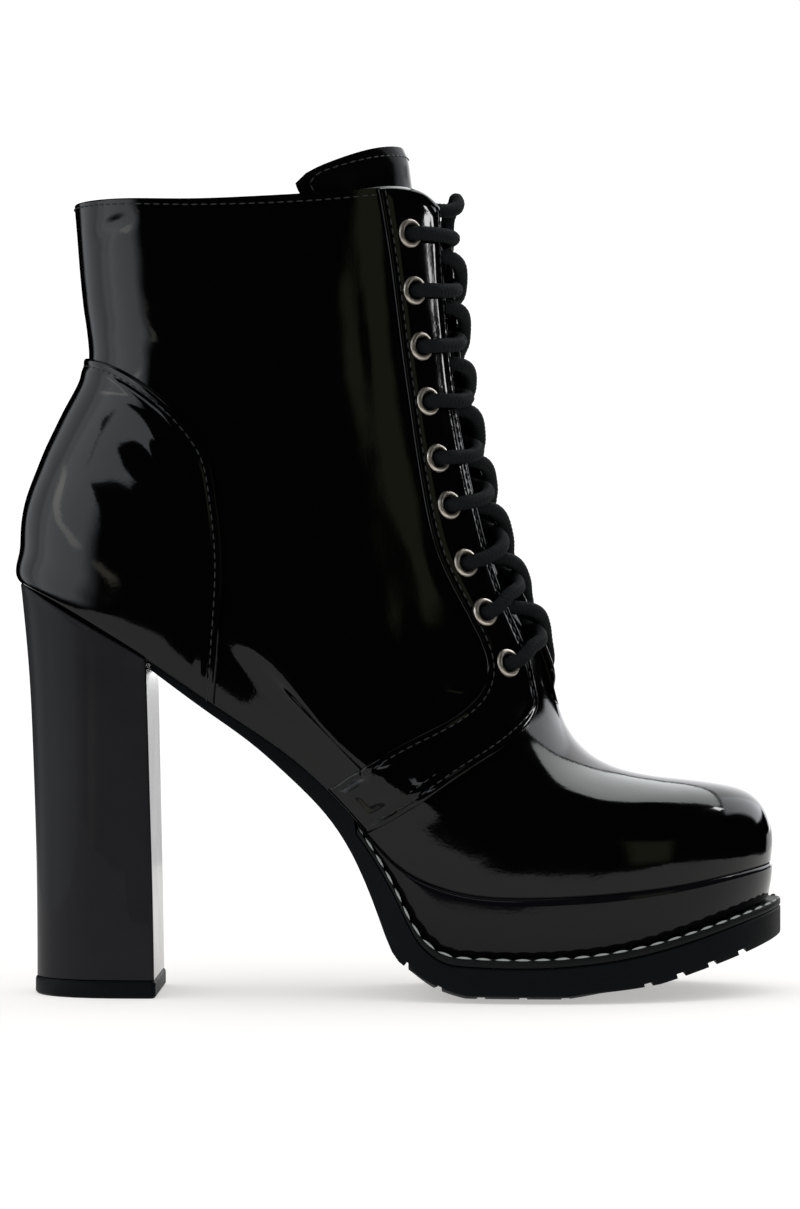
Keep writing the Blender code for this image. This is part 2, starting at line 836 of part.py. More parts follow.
def tube(name, points, collection):
    """Round tube through the points, as a closed mesh."""
    knots = np.linspace(0, 1, len(points))
    smooth = spline(knots, np.array(points), np.linspace(0, 1, 7))
    curve = bpy.data.curves.new(name, "CURVE")
    curve.dimensions = "3D"
    curve.bevel_depth = LACE_RADIUS * MM
    curve.bevel_resolution = 1
    curve.use_fill_caps = True
    line = curve.splines.new("POLY")
    line.points.add(len(smooth) - 1)
    for point, place in zip(line.points, smooth):
        point.co = (*((place + np.array(SHIFT)) * MM), 1.0)
    guide = bpy.data.objects.new(name + "_route", curve)
    collection.objects.link(guide)
    graph = bpy.context.evaluated_depsgraph_get()
    mesh = bpy.data.meshes.new_from_object(guide.evaluated_get(graph))
    work = bmesh.new()
    work.from_mesh(mesh)
    bmesh.ops.remove_doubles(work, verts=work.verts, dist=0.00001)
    bmesh.ops.recalc_face_normals(work, faces=work.faces)
    work.to_mesh(mesh)
    work.free()
    mesh.shade_smooth()
    obj = bpy.data.objects.new(name, mesh)
    obj.matrix_world = guide.matrix_world
    collection.objects.link(obj)
    bpy.data.objects.remove(guide)
    return obj


def make_crossing(name, share, next_share, collection, cutters, material):
    """Two strands that cross over the slit, joined where they meet."""
    obj = tube(name, lace_route(share, next_share, -1), collection)
    obj.data.materials.clear()
    obj.data.materials.append(material)
    other = tube(name + "_other", lace_route(share, next_share, 1), cutters)
    make_cutter(other)
    cut(obj, other, "UNION")
    return obj


def main():
    for obj in list(bpy.data.objects):
        bpy.data.objects.remove(obj)
    boot = bpy.data.collections.new("lace_up_ankle_boot")
    cutters = bpy.data.collections.new("cutters")
    for collection in (boot, cutters):
        bpy.context.scene.collection.children.link(collection)

    patent = principled("black_patent", (0.006, 0.006, 0.007), 0.08)
    lining = principled("black_lining", (0.02, 0.02, 0.021), 0.6)
    rubber = principled("black_rubber", (0.03, 0.03, 0.032), 0.55)
    metal = principled("aged_nickel", (0.55, 0.52, 0.47), 0.32, 1.0)
    cotton = principled("waxed_cotton", (0.022, 0.023, 0.025), 0.7)

    make_upper(boot, patent)
    make_counter(boot, cutters, patent)
    make_facing(-1, (41.2, 91.0), boot, cutters, patent)
    make_facing(1, (46.6, 91.0), boot, cutters, patent)
    make_tongue(boot, patent)
    make_insole(boot, lining)
    make_platform(boot, patent)
    make_welt(boot, rubber)
    make_outsole(boot, cutters, rubber)
    make_heel(boot, patent)
    make_heel_tip(boot, rubber)
    for i, share in enumerate(EYELET_SHARES, 1):
        make_eyelet(f"eyelet_lateral_{i}", share, -1, boot, metal)
        make_eyelet(f"eyelet_medial_{i}", share, 1, boot, metal)
    above = (*EYELET_SHARES[1:], 1.0)
    for i, (share, next_share) in enumerate(zip(EYELET_SHARES, above), 1):
        make_crossing(f"lace_crossing_{i}", share, next_share, boot, cutters, cotton)


main()
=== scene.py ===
"""Looks of the right lace-up ankle boot: black patent leather, platform and block heel.

+X points to the toe, +Y to the inner (medial) side and +Z up. The boot's tables and sizes are in
millimetres and are those of the CAD source, and MM turns them into metres. The studio is in metres.
"""

import math

import bmesh
import bpy
import numpy as np
from mathutils import Matrix, Vector


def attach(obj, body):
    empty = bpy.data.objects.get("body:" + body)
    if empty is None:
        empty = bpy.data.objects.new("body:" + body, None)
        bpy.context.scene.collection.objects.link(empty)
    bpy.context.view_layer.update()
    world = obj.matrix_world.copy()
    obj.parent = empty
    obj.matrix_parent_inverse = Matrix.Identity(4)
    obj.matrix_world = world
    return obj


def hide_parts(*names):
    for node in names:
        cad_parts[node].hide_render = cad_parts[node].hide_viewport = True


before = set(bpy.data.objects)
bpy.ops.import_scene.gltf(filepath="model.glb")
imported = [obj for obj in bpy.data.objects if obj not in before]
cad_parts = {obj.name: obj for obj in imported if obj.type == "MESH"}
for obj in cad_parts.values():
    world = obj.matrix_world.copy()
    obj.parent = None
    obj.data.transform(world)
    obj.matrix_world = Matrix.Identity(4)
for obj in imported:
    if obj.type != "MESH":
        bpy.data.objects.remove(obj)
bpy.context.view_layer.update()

MM = 0.001

# Driving sizes
GAP = 0.3
WALL = 2.0
OVERLAY = 1.2
SHIFT = (0.3, -0.1, 0.0)

# The upper's rings, feather line to collar: share of the way up, then the middle of the back and
# of the front
RINGS = (
    # share, back x, back z, front x, front z
    (0.000, -116.0, 126.0, 115.2, 40.4),
    (0.029, -117.2, 129.4, 115.7, 47.6),
    (0.081, -116.3, 135.4, 111.0, 59.6),
    (0.138, -115.8, 142.0, 97.8, 65.0),
    (0.219, -114.3, 151.5, 77.6, 67.3),
    (0.302, -110.8, 161.2, 58.9, 74.3),
    (0.355, -108.3, 167.4, 50.8, 84.5),
    (0.407, -105.4, 173.5, 47.6, 97.0),
    (0.468, -101.8, 180.6, 42.5, 111.0),
    (0.532, -97.9, 188.0, 36.0, 125.5),
    (0.595, -96.2, 195.4, 30.5, 140.0),
    (0.680, -97.1, 205.3, 24.5, 160.0),
    (0.780, -98.5, 217.0, 19.5, 184.0),
    (0.886, -99.5, 229.3, 16.6, 210.0),
    (1.000, -100.6, 242.6, 15.0, 235.0),
)

# Where the widths below are given, as shares of a ring's length from the back to the front
WIDTH_PLACES = (0.0, 0.12, 0.3, 0.5, 0.7, 0.85, 1.0)

# Half width of the ellipse that each ring follows at those places
WIDTHS = (
    # share, back, heel, waist, middle, ball, fore, tip
    (0.00, 53.0, 41.5, 27.8, 31.5, 45.5, 53.5, 58.0),
    (0.05, 54.0, 44.5, 29.8, 33.0, 46.5, 54.0, 58.5),
    (0.14, 52.5, 46.0, 31.8, 33.5, 44.5, 47.0, 47.0),
    (0.29, 47.0, 45.5, 33.6, 33.0, 38.5, 43.5, 39.0),
    (0.43, 42.0, 43.0, 33.6, 32.5, 33.8, 36.0, 33.5),
    (0.61, 37.0, 38.5, 32.5, 32.0, 32.5, 34.0, 33.0),
    (0.80, 35.6, 37.5, 33.5, 33.5, 33.8, 36.0, 37.0),
    (1.00, 37.0, 39.5, 35.0, 35.0, 35.4, 38.5, 40.0),
)

# The last's curve: how far its middle line lies to the inner side
SWING = (
    # share of the length, inward
    (0.00, 0.0), (0.15, 0.0), (0.40, -3.0), (0.60, -2.5), (0.80, 1.5), (1.00, 6.0),
)
INSTEP_RIDGE = 5.0

# Side lines of the boot, each a height over x
FEATHER_LINE = (
    # x, z
    (-123.0, 130.1), (-116.0, 126.0), (-97.0, 114.6), (-77.4, 103.4), (-57.3, 90.0),
    (-40.0, 78.6), (-30.1, 71.2), (-21.0, 62.8), (-10.2, 51.1), (-1.3, 41.8), (8.3, 36.2),
    (19.6, 32.9), (36.7, 31.8), (59.1, 32.7), (75.3, 34.1), (89.5, 36.0), (102.0, 38.2),
    (115.2, 40.4), (122.0, 41.4),
)
COLLAR_LINE = (
    # x, z
    (-100.6, 242.6), (-72.7, 241.3), (-33.6, 242.3), (-9.0, 245.0), (3.0, 245.9), (9.0, 243.9),
    (12.4, 240.2), (15.4, 234.6),
)
PLATFORM_BASE = (
    # x, z
    (-14.0, 54.2), (-10.0, 48.8), (-5.5, 41.6), (-1.3, 34.0), (3.5, 24.0), (8.3, 18.0),
    (13.0, 15.0), (19.6, 13.9), (36.5, 13.5), (55.7, 14.6), (74.9, 17.7), (94.5, 23.0),
    (105.3, 26.2), (118.0, 29.8),
)
OUTSOLE_BASE = (
    # x, z
    (-76.0, 100.0), (-57.9, 86.6), (-43.4, 76.0), (-34.6, 68.2), (-25.9, 59.8), (-17.4, 49.0),
    (-11.5, 37.8), (-6.4, 24.5), (-2.1, 13.4), (2.5, 8.6), (7.8, 4.6), (13.5, 1.8), (20.0, 0.0),
    (50.0, 0.0), (59.7, 1.6), (72.6, 4.3), (91.4, 9.6), (102.0, 12.9), (119.0, 18.6),
)

# Sole layers
STEEP_MIDDLE = 5.0
STEEP_REACH = 42.0
PLATFORM_START = -13.0
PLATFORM_EDGE = 0.6
PLATFORM_TAPER = 1.6
WELT_THICK = 2.4
WELT_EDGE = 3.0
OUTSOLE_START = -75.8
WAIST_EDGE = -1.5
LUG_GROOVES = (
    # x, depth
    (1.5, 2.6), (11.5, 2.4), (24.5, 1.5), (37.2, 1.4), (49.9, 1.4), (62.3, 1.4), (74.5, 1.4),
    (84.5, 1.4), (94.3, 1.4), (104.0, 1.4),
)
GROOVE_WIDE = 2.6
CAMBER_WIDE = 18.0
CAMBER_HIGH = 2.2
CAMBER_MIDDLE = 33.0
CAMBER_REACH = 45.0
CAMBER_FADE = 22.0

# The block heel from its top lift to the seat
HEEL_FORM = (
    # share, back x, breast x, half width
    (0.00, -112.1, -74.5, 25.0), (0.30, -112.4, -75.0, 25.6), (0.55, -113.3, -75.6, 26.8),
    (0.80, -114.8, -76.2, 28.4), (1.00, -117.2, -76.8, 30.0),
)
LIFT_THICK = 5.3
LIFT_PROUD = 0.5

INSOLE_THICK = 2.6

# The slit that the laces close
THROAT = 0.372
SLIT_ROUND = 0.04
SLIT_INNER = (
    # share of the upper's height, distance of the inner edge from the middle
    (0.372, 8.5), (1.0, 11.0),
)
SLIT_OUTER = (
    # share of the upper's height, distance of the outer edge from the middle
    (0.372, 10.2), (0.440, 11.0), (0.520, 11.2), (0.610, 10.4), (0.700, 9.9), (1.0, 10.5),
)

# Edges of the overlays, seen from the side
COUNTER_EDGE = (
    # x, z
    (-97.0, 196.0), (-86.9, 191.9), (-77.8, 186.5), (-69.8, 180.0), (-62.9, 172.3),
    (-58.2, 165.0), (-55.2, 152.0), (-53.3, 133.3), (-54.2, 111.4), (-56.6, 86.0),
)
FACING_SEAM = (
    # x, z
    (-7.6, 248.0), (-4.2, 228.5), (-0.6, 201.0), (2.6, 178.0), (7.0, 150.0), (10.7, 135.2),
    (19.4, 117.3), (24.4, 107.0), (26.0, 100.5), (25.2, 95.4), (19.4, 87.8), (3.5, 78.8),
    (-23.5, 62.0),
)
BAND_EDGE = (
    # x, z
    (-13.0, 48.5), (-1.3, 55.0), (21.8, 70.0), (36.6, 80.5),
)

# Rows of the tongue inside the upper: share of the upper's height, half turn in degrees, and how
# far the middle leans back
TONGUE = (
    # share, half turn, lean
    (0.315, 23.0, 0.0), (0.360, 27.0, 0.0), (0.420, 32.0, 0.0), (0.520, 37.0, 0.0),
    (0.640, 42.0, 0.4), (0.760, 48.0, 1.4), (0.880, 58.0, 3.2),
)

# Rows of the tongue at the collar and above: half turn, lean, height at the middle and at the sides
TONGUE_TOP = (
    # half turn, lean, middle z, side z
    (68.0, 5.4, 239.5, 235.5),
    (74.0, 7.8, 247.5, 240.5),
    (77.0, 8.8, 254.5, 244.0),
    (78.0, 9.6, 261.0, 246.5),
)
TONGUE_THICK = 2.4
TONGUE_CLEAR = 1.0

# Eyelets, bottom to top: share of the upper's height
EYELET_SHARES = (0.407, 0.471, 0.534, 0.607, 0.665, 0.735, 0.801, 0.867, 0.939)
EYELET_INSET_INNER = (
    # share of the upper's height, distance from the slit's edge
    (0.372, 11.5), (1.0, 14.5),
)
EYELET_INSET_OUTER = (
    # share of the upper's height, distance from the slit's edge
    (0.372, 9.2), (0.471, 9.1), (0.534, 9.4), (0.607, 10.7), (0.665, 11.7), (0.735, 12.2),
    (0.801, 12.6), (0.867, 13.7), (0.939, 14.4), (1.0, 14.8),
)


def runs(points):
    """Length along a line of points up to each of them."""
    return np.concatenate([[0], np.cumsum(np.linalg.norm(np.diff(points, axis=0), axis=1))])


def spline(knots, values, where):
    """Natural cubic spline through the values at the knots, read at where."""
    knots = np.asarray(knots, float)
    values = np.asarray(values, float)
    where = np.clip(np.asarray(where, float), knots[0], knots[-1])
    flat = values.reshape(len(knots), -1)
    step = np.diff(knots)
    slope = np.diff(flat, axis=0) / step[:, None]
    system = np.eye(len(knots))
    right = np.zeros(flat.shape)
    for i in range(1, len(knots) - 1):
        system[i, i - 1 : i + 2] = step[i - 1], 2 * (step[i - 1] + step[i]), step[i]
        right[i] = 6 * (slope[i] - slope[i - 1])
    bend = np.linalg.solve(system, right)
    i = np.clip(np.searchsorted(knots, where, side="right") - 1, 0, len(step) - 1)
    past = (where - knots[i])[..., None]
    left = (knots[i + 1] - where)[..., None]
    wide = step[i][..., None]
    result = (bend[i] * left**3 + bend[i + 1] * past**3) / (6 * wide)
    result = result + (flat[i] / wide - bend[i] * wide / 6) * left
    result = result + (flat[i + 1] / wide - bend[i + 1] * wide / 6) * past
    return result.reshape(where.shape + values.shape[1:])


def column(table, *places):
    """The named places of each row, as an array."""
    return np.array([[row[p] for p in places] for row in table], float)


def on_line(line, extra=0.0):
    """The height of a side line, moved up by extra, as a function of x."""
    return lambda x: height(line, x) + extra


def height(line, x):
    """Height of a side line at x."""
    return spline(column(line, 0)[:, 0], column(line, 1)[:, 0], x)


def side_point(along, share):
    """Where a point of the upper stands seen from the side: (x, z)."""
    share_1, along_1 = share[..., None], along[..., None]
    shares = column(RINGS, 0)[:, 0]
    back = spline(shares, column(RINGS, 1, 2), share)
    front = spline(shares, column(RINGS, 3, 4), share)
    low_x = RINGS[0][1] + along * (RINGS[0][3] - RINGS[0][1])
    low = np.stack([low_x, height(FEATHER_LINE, low_x)], axis=-1)
    top_x = RINGS[-1][1] + along * (RINGS[-1][3] - RINGS[-1][1])
    top = np.stack([top_x, height(COLLAR_LINE, top_x)], axis=-1)
    back_low, front_low = np.array(RINGS[0][1:3]), np.array(RINGS[0][3:5])
    back_top, front_top = np.array(RINGS[-1][1:3]), np.array(RINGS[-1][3:5])
    back_bulge = back - (1 - share_1) * back_low - share_1 * back_top
    front_bulge = front - (1 - share_1) * front_low - share_1 * front_top
    result = (1 - share_1) * low + share_1 * top
    return result + (1 - along_1) * back_bulge + along_1 * front_bulge


def half_width(along, share):
    """Half width of the ellipse that the ring follows here."""
    rows = spline(column(WIDTHS, 0)[:, 0], column(WIDTHS, 1, 2, 3, 4, 5, 6, 7), share)
    weights = spline(WIDTH_PLACES, np.eye(len(WIDTH_PLACES)), along)
    return (rows * weights).sum(axis=-1)


def middle_line(along, share):
    """How far the middle of the ring lies to the inner side."""
    foot = spline(column(SWING, 0)[:, 0], column(SWING, 1)[:, 0], along)
    return (1 - share) * foot + share * INSTEP_RIDGE * along**3


def face_point(turn, share):
    """Point of the upper's outer face. The turn is 0 at the back and +-pi at the front, and it is
    positive on the outer side of the foot."""
    along = (1 - np.cos(turn)) / 2
    side = side_point(along, share)
    y = middle_line(along, share) - np.sin(turn) * half_width(along, share)
    return np.stack([side[..., 0], y, side[..., 1]], axis=-1)


def face_normal(turn, share):
    """Outward normal of that face, level at the feather line."""
    small = 1e-3
    low, high = np.clip(share - small, 0, 1), np.clip(share + small, 0, 1)
    around = face_point(turn + small, share) - face_point(turn - small, share)
    up = face_point(turn, high) - face_point(turn, low)
    normal = np.cross(around, up)
    normal[..., 2] *= np.clip(share / 0.03, 0, 1)
    return normal / np.linalg.norm(normal, axis=-1, keepdims=True)


def offset_point(turn, share, out):
    """Point at a distance outside the upper's face. At the feather line it keeps that line's
    height, so that the upper's bottom edge stays parallel to the sole."""
    turn, share = np.broadcast_arrays(np.asarray(turn, float), np.asarray(share, float))
    face = face_point(turn, share)
    moved = face + face_normal(turn, share) * np.asarray(out)[..., None]
    step = height(FEATHER_LINE, moved[..., 0]) - height(FEATHER_LINE, face[..., 0])
    moved[..., 2] += step * np.clip(1 - share / 0.03, 0, 1)
    return moved


def slit_turns(share):
    """Turns of the slit's outer and inner edges, pi and -pi where the upper is closed."""
    share = np.asarray(share, float)
    open_share = np.clip((share - THROAT) / SLIT_ROUND, 0, 1)
    rounded = np.sqrt(1 - (1 - open_share) ** 2)
    near = height(SLIT_OUTER, share)
    far = height(SLIT_INNER, share)
    one = np.ones_like(share)
    ridge = middle_line(one, share)
    wide = half_width(one, share)
    outer = math.pi - np.arcsin(rounded * (near + ridge) / wide)
    inner = np.arcsin(rounded * (far - ridge) / wide) - math.pi
    return outer, inner


def turn_at(x):
    """Turn of the place on the feather line at x."""
    return math.acos(1 - 2 * (x - RINGS[0][1]) / (RINGS[0][3] - RINGS[0][1]))


def flat_offset(turns, edge, drawn_in):
    """Points of the feather line moved level by edge(x) less drawn_in, and straight across along
    the waist, where the side lines are steep."""
    share = np.zeros_like(turns)
    points = face_point(turns, share)
    out = face_normal(turns, share)[:, :2]
    out[:, 0] *= np.clip(np.abs(points[:, 0] + STEEP_MIDDLE) / STEEP_REACH - 1, 0, 1)
    return points[:, :2] + out * (edge(points[:, 0]) - drawn_in)[:, None]


def welt_edge(x):
    """The welt and the outsole stand out under the forepart and draw in along the waist."""
    share = np.clip((x + 22.0) / 32.0, 0, 1)
    return WAIST_EDGE + (WELT_EDGE - WAIST_EDGE) * share * share * (3 - 2 * share)


def camber(x):
    """Rise of the outsole's underside to its edge, where the ball of the foot stands."""
    return CAMBER_HIGH * np.clip((CAMBER_REACH - np.abs(x - CAMBER_MIDDLE)) / CAMBER_FADE, 0, 1)


def outsole_base(x):
    """Underside of the outsole along its middle, flat on the floor under the ball."""
    return np.maximum(height(OUTSOLE_BASE, x), 0.0)


def outsole_top(x):
    """Under the welt at the forepart, and under the feather line at the waist."""
    under_welt = height(PLATFORM_BASE, x) - 2 * GAP - WELT_THICK
    under_upper = height(FEATHER_LINE, x) - GAP
    return np.where(x < PLATFORM_START - 2 * GAP, under_upper, under_welt)


def tongue_row(share, half_turn, lean, across):
    """Row of the tongue's outer face, from its inner side to its outer one."""
    turns = math.radians(half_turn) * across
    turns = np.where(turns < 0, -math.pi - turns, math.pi - turns)
    row = offset_point(turns, np.full(across.shape, share), -(WALL + TONGUE_CLEAR))
    row[:, 0] -= lean * np.cos(across * math.pi / 2) ** 1.5
    return row


def eyelet_inset(share, side):
    """Distance of an eyelet's centre from the slit's edge."""
    return float(height(EYELET_INSET_OUTER if side < 0 else EYELET_INSET_INNER, share))


def eyelet_turn(share, side):
    """Turn of the eyelet's centre along the ring."""
    outer, inner = slit_turns(share)
    edge = float(outer) if side < 0 else float(inner)
    turns = edge - math.copysign(1, edge) * np.linspace(0, 1.2, 121)
    ring = face_point(turns, np.full(turns.shape, share))
    run = runs(ring)
    return float(np.interp(eyelet_inset(share, side), run, turns))


# ---- meshes ----

SHIFTED = np.array(SHIFT)


def mesh_object(name, points, faces, materials, indices=None, sharp=60.0):
    """Smooth mesh object from points in millimetres. indices gives each face its material."""
    mesh = bpy.data.meshes.new(name)
    moved = (np.asarray(points, float) + SHIFTED) * MM
    mesh.from_pydata(moved.tolist(), [], [tuple(int(i) for i in f) for f in faces])
    if indices is not None:
        mesh.polygons.foreach_set("material_index", np.asarray(indices, np.int32))
    for material in materials:
        mesh.materials.append(material)
    mesh.validate()
    mesh.shade_smooth()
    mesh.set_sharp_from_angle(angle=math.radians(sharp))
    obj = bpy.data.objects.new(name, mesh)
    bpy.context.scene.collection.objects.link(obj)
    return obj


def normals_out(obj):
    """Makes the face normals of a closed mesh point outwards."""
    work = bmesh.new()
    work.from_mesh(obj.data)
    bmesh.ops.remove_doubles(work, verts=work.verts, dist=0.000002)
    bmesh.ops.recalc_face_normals(work, faces=work.faces)
    work.to_mesh(obj.data)
    work.free()
    obj.data.shade_smooth()


def place(obj, slot, *nodes):
    """Every piece rides on the one body and hides the CAD nodes it stands for. Its slot is not
    used.
    """
    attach(obj, "root")
    if nodes:
        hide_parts(*nodes)
    return obj


def quads(rows, columns, around=False):
    """Quads of a grid of points, whose columns may close into rings."""
    wide = columns if around else columns - 1
    r, c = np.meshgrid(np.arange(rows - 1), np.arange(wide), indexing="ij")
    nxt = (c + 1) % columns
    a = r * columns
    faces = np.stack([a + c, a + nxt, a + columns + nxt, a + columns + c], axis=-1)
    return faces.reshape(-1, 4)


def sheet_faces(rows, columns):
    """Faces of a sheet of two grids: its front, its back and the strip round them."""
    count = rows * columns
    front = quads(rows, columns)
    ring = np.concatenate([
        np.arange(columns),
        np.arange(1, rows) * columns + columns - 1,
        (rows - 1) * columns + np.arange(columns - 2, -1, -1),
        np.arange(rows - 2, 0, -1) * columns,
    ])
    after = np.roll(ring, -1)
    side = np.column_stack([after, ring, ring + count, after + count])
    return np.concatenate([front, front[:, ::-1] + count, side])


def loft(name, rings, materials, sharp):
    """Stack of rings as a closed mesh, its ends closed by strips from side to side. The rings start
    at one end of that axis and are mirrored over it."""
    count = len(rings[0])
    faces = [tuple(f) for f in quads(len(rings), count, around=True)]
    for base in (0, (len(rings) - 1) * count):
        for i in range(count // 2):
            quad = (base + i, base + i + 1, base + count - i - 1, base + (count - i) % count)
            corners = tuple(dict.fromkeys(quad))
            if len(corners) > 2:
                faces.append(corners)
    obj = mesh_object(name, np.concatenate(rings), faces, materials, sharp=sharp)
    normals_out(obj)
    obj.data.set_sharp_from_angle(angle=math.radians(sharp))
    return obj


def unit(vectors):
    return vectors / np.maximum(np.linalg.norm(vectors, axis=-1, keepdims=True), 1e-9)


def resample(points, count):
    """The polyline at evenly spaced places along it."""
    points = np.asarray(points, float)
    run = runs(points)
    want = np.linspace(0, run[-1], count)
    return np.column_stack([np.interp(want, run, points[:, k]) for k in range(points.shape[1])])


def smooth_line(points, count):
    """A smooth curve through a few points, evenly spaced."""
    points = np.asarray(points, float)
    run = runs(points)
    fine = spline(run, points, np.linspace(0, run[-1], 40 * len(points)))
    return resample(fine, count)


def on_surface(side_points, side):
    """(turn, share) of places of the upper's face that are given as seen from the side."""
    target = np.asarray(side_points, float)
    along = np.clip((target[:, 0] + 105.0) / 190.0, 0.03, 0.97)
    share = np.clip((target[:, 1] - 40.0) / 200.0, 0.03, 0.97)
    step = 1e-4
    for _ in range(60):
        here = side_point(along, share)
        miss = target - here
        by_along = (side_point(along + step, share) - here) / step
        by_share = (side_point(along, share + step) - here) / step
        det = by_along[:, 0] * by_share[:, 1] - by_along[:, 1] * by_share[:, 0]
        det = np.where(np.abs(det) < 1.0, 1.0, det)
        move_along = (miss[:, 0] * by_share[:, 1] - miss[:, 1] * by_share[:, 0]) / det
        move_share = (by_along[:, 0] * miss[:, 1] - by_along[:, 1] * miss[:, 0]) / det
        along = np.clip(along + 0.6 * np.clip(move_along, -0.1, 0.1), 0.0005, 0.9995)
        share = np.clip(share + 0.6 * np.clip(move_share, -0.1, 0.1), 0.0, 1.0)
    turn = np.arccos(1 - 2 * along)
    return np.column_stack([-side * turn, share])


# ---- soft relief of the upper ----

CREASES = (
    # x, z, reach x, reach z, lean in degrees, height, side (-1 outer, 1 inner, 0 both)
    (-88.0, 203.0, 13.0, 3.6, -20.0, -0.26, 0),
    (-80.0, 214.0, 16.0, 5.0, -28.0, 0.16, 0),
    (-70.0, 199.0, 14.0, 4.2, -40.0, 0.15, 0),
    (-12.0, 196.0, 3.0, 26.0, 6.0, -0.25, 0),
    (6.0, 132.0, 4.0, 14.0, 22.0, 0.35, 0),
    (2.0, 112.0, 5.0, 12.0, 10.0, -0.35, 0),
    (12.0, 98.0, 4.0, 10.0, 30.0, 0.30, 0),
    (30.0, 74.0, 18.0, 3.5, -30.0, -0.30, 0),
    (46.0, 66.0, 20.0, 4.0, -24.0, 0.25, 0),
    (-86.5, 234.5, 5.0, 2.4, 18.0, -0.60, 0),
    (-87.0, 229.5, 4.0, 2.2, 14.0, 0.20, 0),
    (-81.0, 160.0, 9.0, 3.2, -50.0, -0.36, 0),
    (-74.5, 163.0, 9.5, 2.6, -58.0, 0.44, 0),
    (-69.5, 162.0, 9.5, 2.4, -60.0, -0.40, 0),
    (-64.5, 165.0, 11.0, 2.6, -64.0, 0.42, 0),
    (-60.0, 158.0, 9.0, 2.4, -70.0, -0.30, 0),
)


def faded(share):
    """1 on the upper's face and 0 at its feather line and its collar, where relief ends."""
    return np.clip(share / 0.05, 0, 1) * np.clip((1 - share) / 0.02, 0, 1)


def relief(points):
    """Soft troughs and ridges at the listed places, and the slow waves of thin coated leather."""
    x, y, z = points[..., 0], points[..., 1], points[..., 2]
    total = np.zeros(x.shape)
    for cx, cz, rx, rz, lean, high, side in CREASES:
        a = math.radians(lean)
        u = (x - cx) * math.cos(a) + (z - cz) * math.sin(a)
        v = (z - cz) * math.cos(a) - (x - cx) * math.sin(a)
        bump = high * np.exp(-((u / rx) ** 2) - (v / rz) ** 2)
        if side:
            bump = bump * np.clip(side * y / 8.0, 0, 1)
        total += bump
    total += 0.06 * np.sin(x * 0.11 + z * 0.05 + 0.6 * np.sin(y * 0.09)) * np.sin(z * 0.083 + 1.3)
    total += 0.03 * np.sin(x * 0.21 - z * 0.17 + 2.0) * np.sin(y * 0.19 + z * 0.11)
    return total


# ---- upper ----

WALL_ROWS = 120
WALL_COLUMNS = 170


def wall_shares():
    """Rows of the upper's mesh, closer together where the slit begins."""
    fine = np.linspace(0, 1, WALL_ROWS)
    extra = [THROAT + s for s in (0.0, 0.001, 0.003, 0.006, 0.010, 0.015, 0.021, 0.028, 0.036)]
    shares = np.unique(np.concatenate([fine, extra]).round(5))
    keep = [shares[0]]
    for s in shares[1:]:
        near = any(abs(s - e) < 1e-6 for e in extra)
        if s - keep[-1] > 0.0025 or near:
            keep.append(s)
    return np.array(keep)


def upper_form(out, shares, columns):
    """Grid over the whole upper at a distance from its face."""
    outer, inner = slit_turns(shares)
    part = np.linspace(0, 1, columns + 1)
    turns = inner[:, None] + (outer - inner)[:, None] * part[None, :]
    table = np.repeat(shares[:, None], columns + 1, axis=1)
    points = offset_point(turns, table, out)
    normal = face_normal(turns, table)
    return points + normal * (relief(points) * faded(table))[..., None]


def make_upper(materials):
    """Hollow upper: two grids a wall apart, with half-round rims at the collar, slit and foot."""
    shares = wall_shares()
    columns = WALL_COLUMNS
    outer = upper_form(0.0, shares, columns)
    inner = upper_form(-WALL, shares, columns)
    rows = len(shares)
    count = rows * (columns + 1)
    closed = np.linalg.norm(outer[:, 0] - outer[:, -1], axis=1) < 0.01
    index = np.arange(count).reshape(rows, columns + 1)
    index[closed, -1] = index[closed, 0]
    grid = quads(rows, columns + 1)
    near = index.ravel()[grid]
    faces = [tuple(f) for f in near]
    marks = [0] * len(faces)
    faces += [tuple(int(i) + count for i in f[::-1]) for f in near]
    marks += [1] * len(near)
    points = [outer.reshape(-1, 3), inner.reshape(-1, 3)]
    total = 2 * count

    def rim(ids, back, mark):
        """Half-round rim along a row of the grid. back points from the edge into the wall."""
        nonlocal total
        a, b = points[0][ids], points[1][ids]
        middle, half = (a + b) / 2, (a - b) / 2
        away = unit(a - points[0][back]) * np.linalg.norm(half, axis=1)[:, None] * 0.45
        rings = [ids]
        for angle in (45, 90, 135):
            c, s = math.cos(math.radians(angle)), math.sin(math.radians(angle))
            points.append(middle + half * c + away * s)
            rings.append(np.arange(total, total + len(ids)))
            total += len(ids)
        rings.append(ids + count)
        for one, two in zip(rings, rings[1:]):
            for i in range(len(ids) - 1):
                faces.append((one[i], two[i], two[i + 1], one[i + 1]))
                marks.append(mark)

    rim(index[-1, :], index[-2, :], 0)
    rim(index[0, ::-1], index[1, ::-1], 1)
    first = int(np.argmin(closed)) - 1
    rim(index[first:, -1][::-1], index[first:, -2][::-1], 0)
    rim(index[first:, 0], index[first:, 1], 0)
    faces = [tuple(dict.fromkeys(int(i) for i in f)) for f in faces]
    kept = [(f, m) for f, m in zip(faces, marks) if len(f) > 2]
    obj = mesh_object("upper_leather", np.concatenate(points), [f for f, _ in kept], materials,
                      [m for _, m in kept])
    normals_out(obj)
    return place(obj, "black_patent", "upper")


# ---- overlays ----


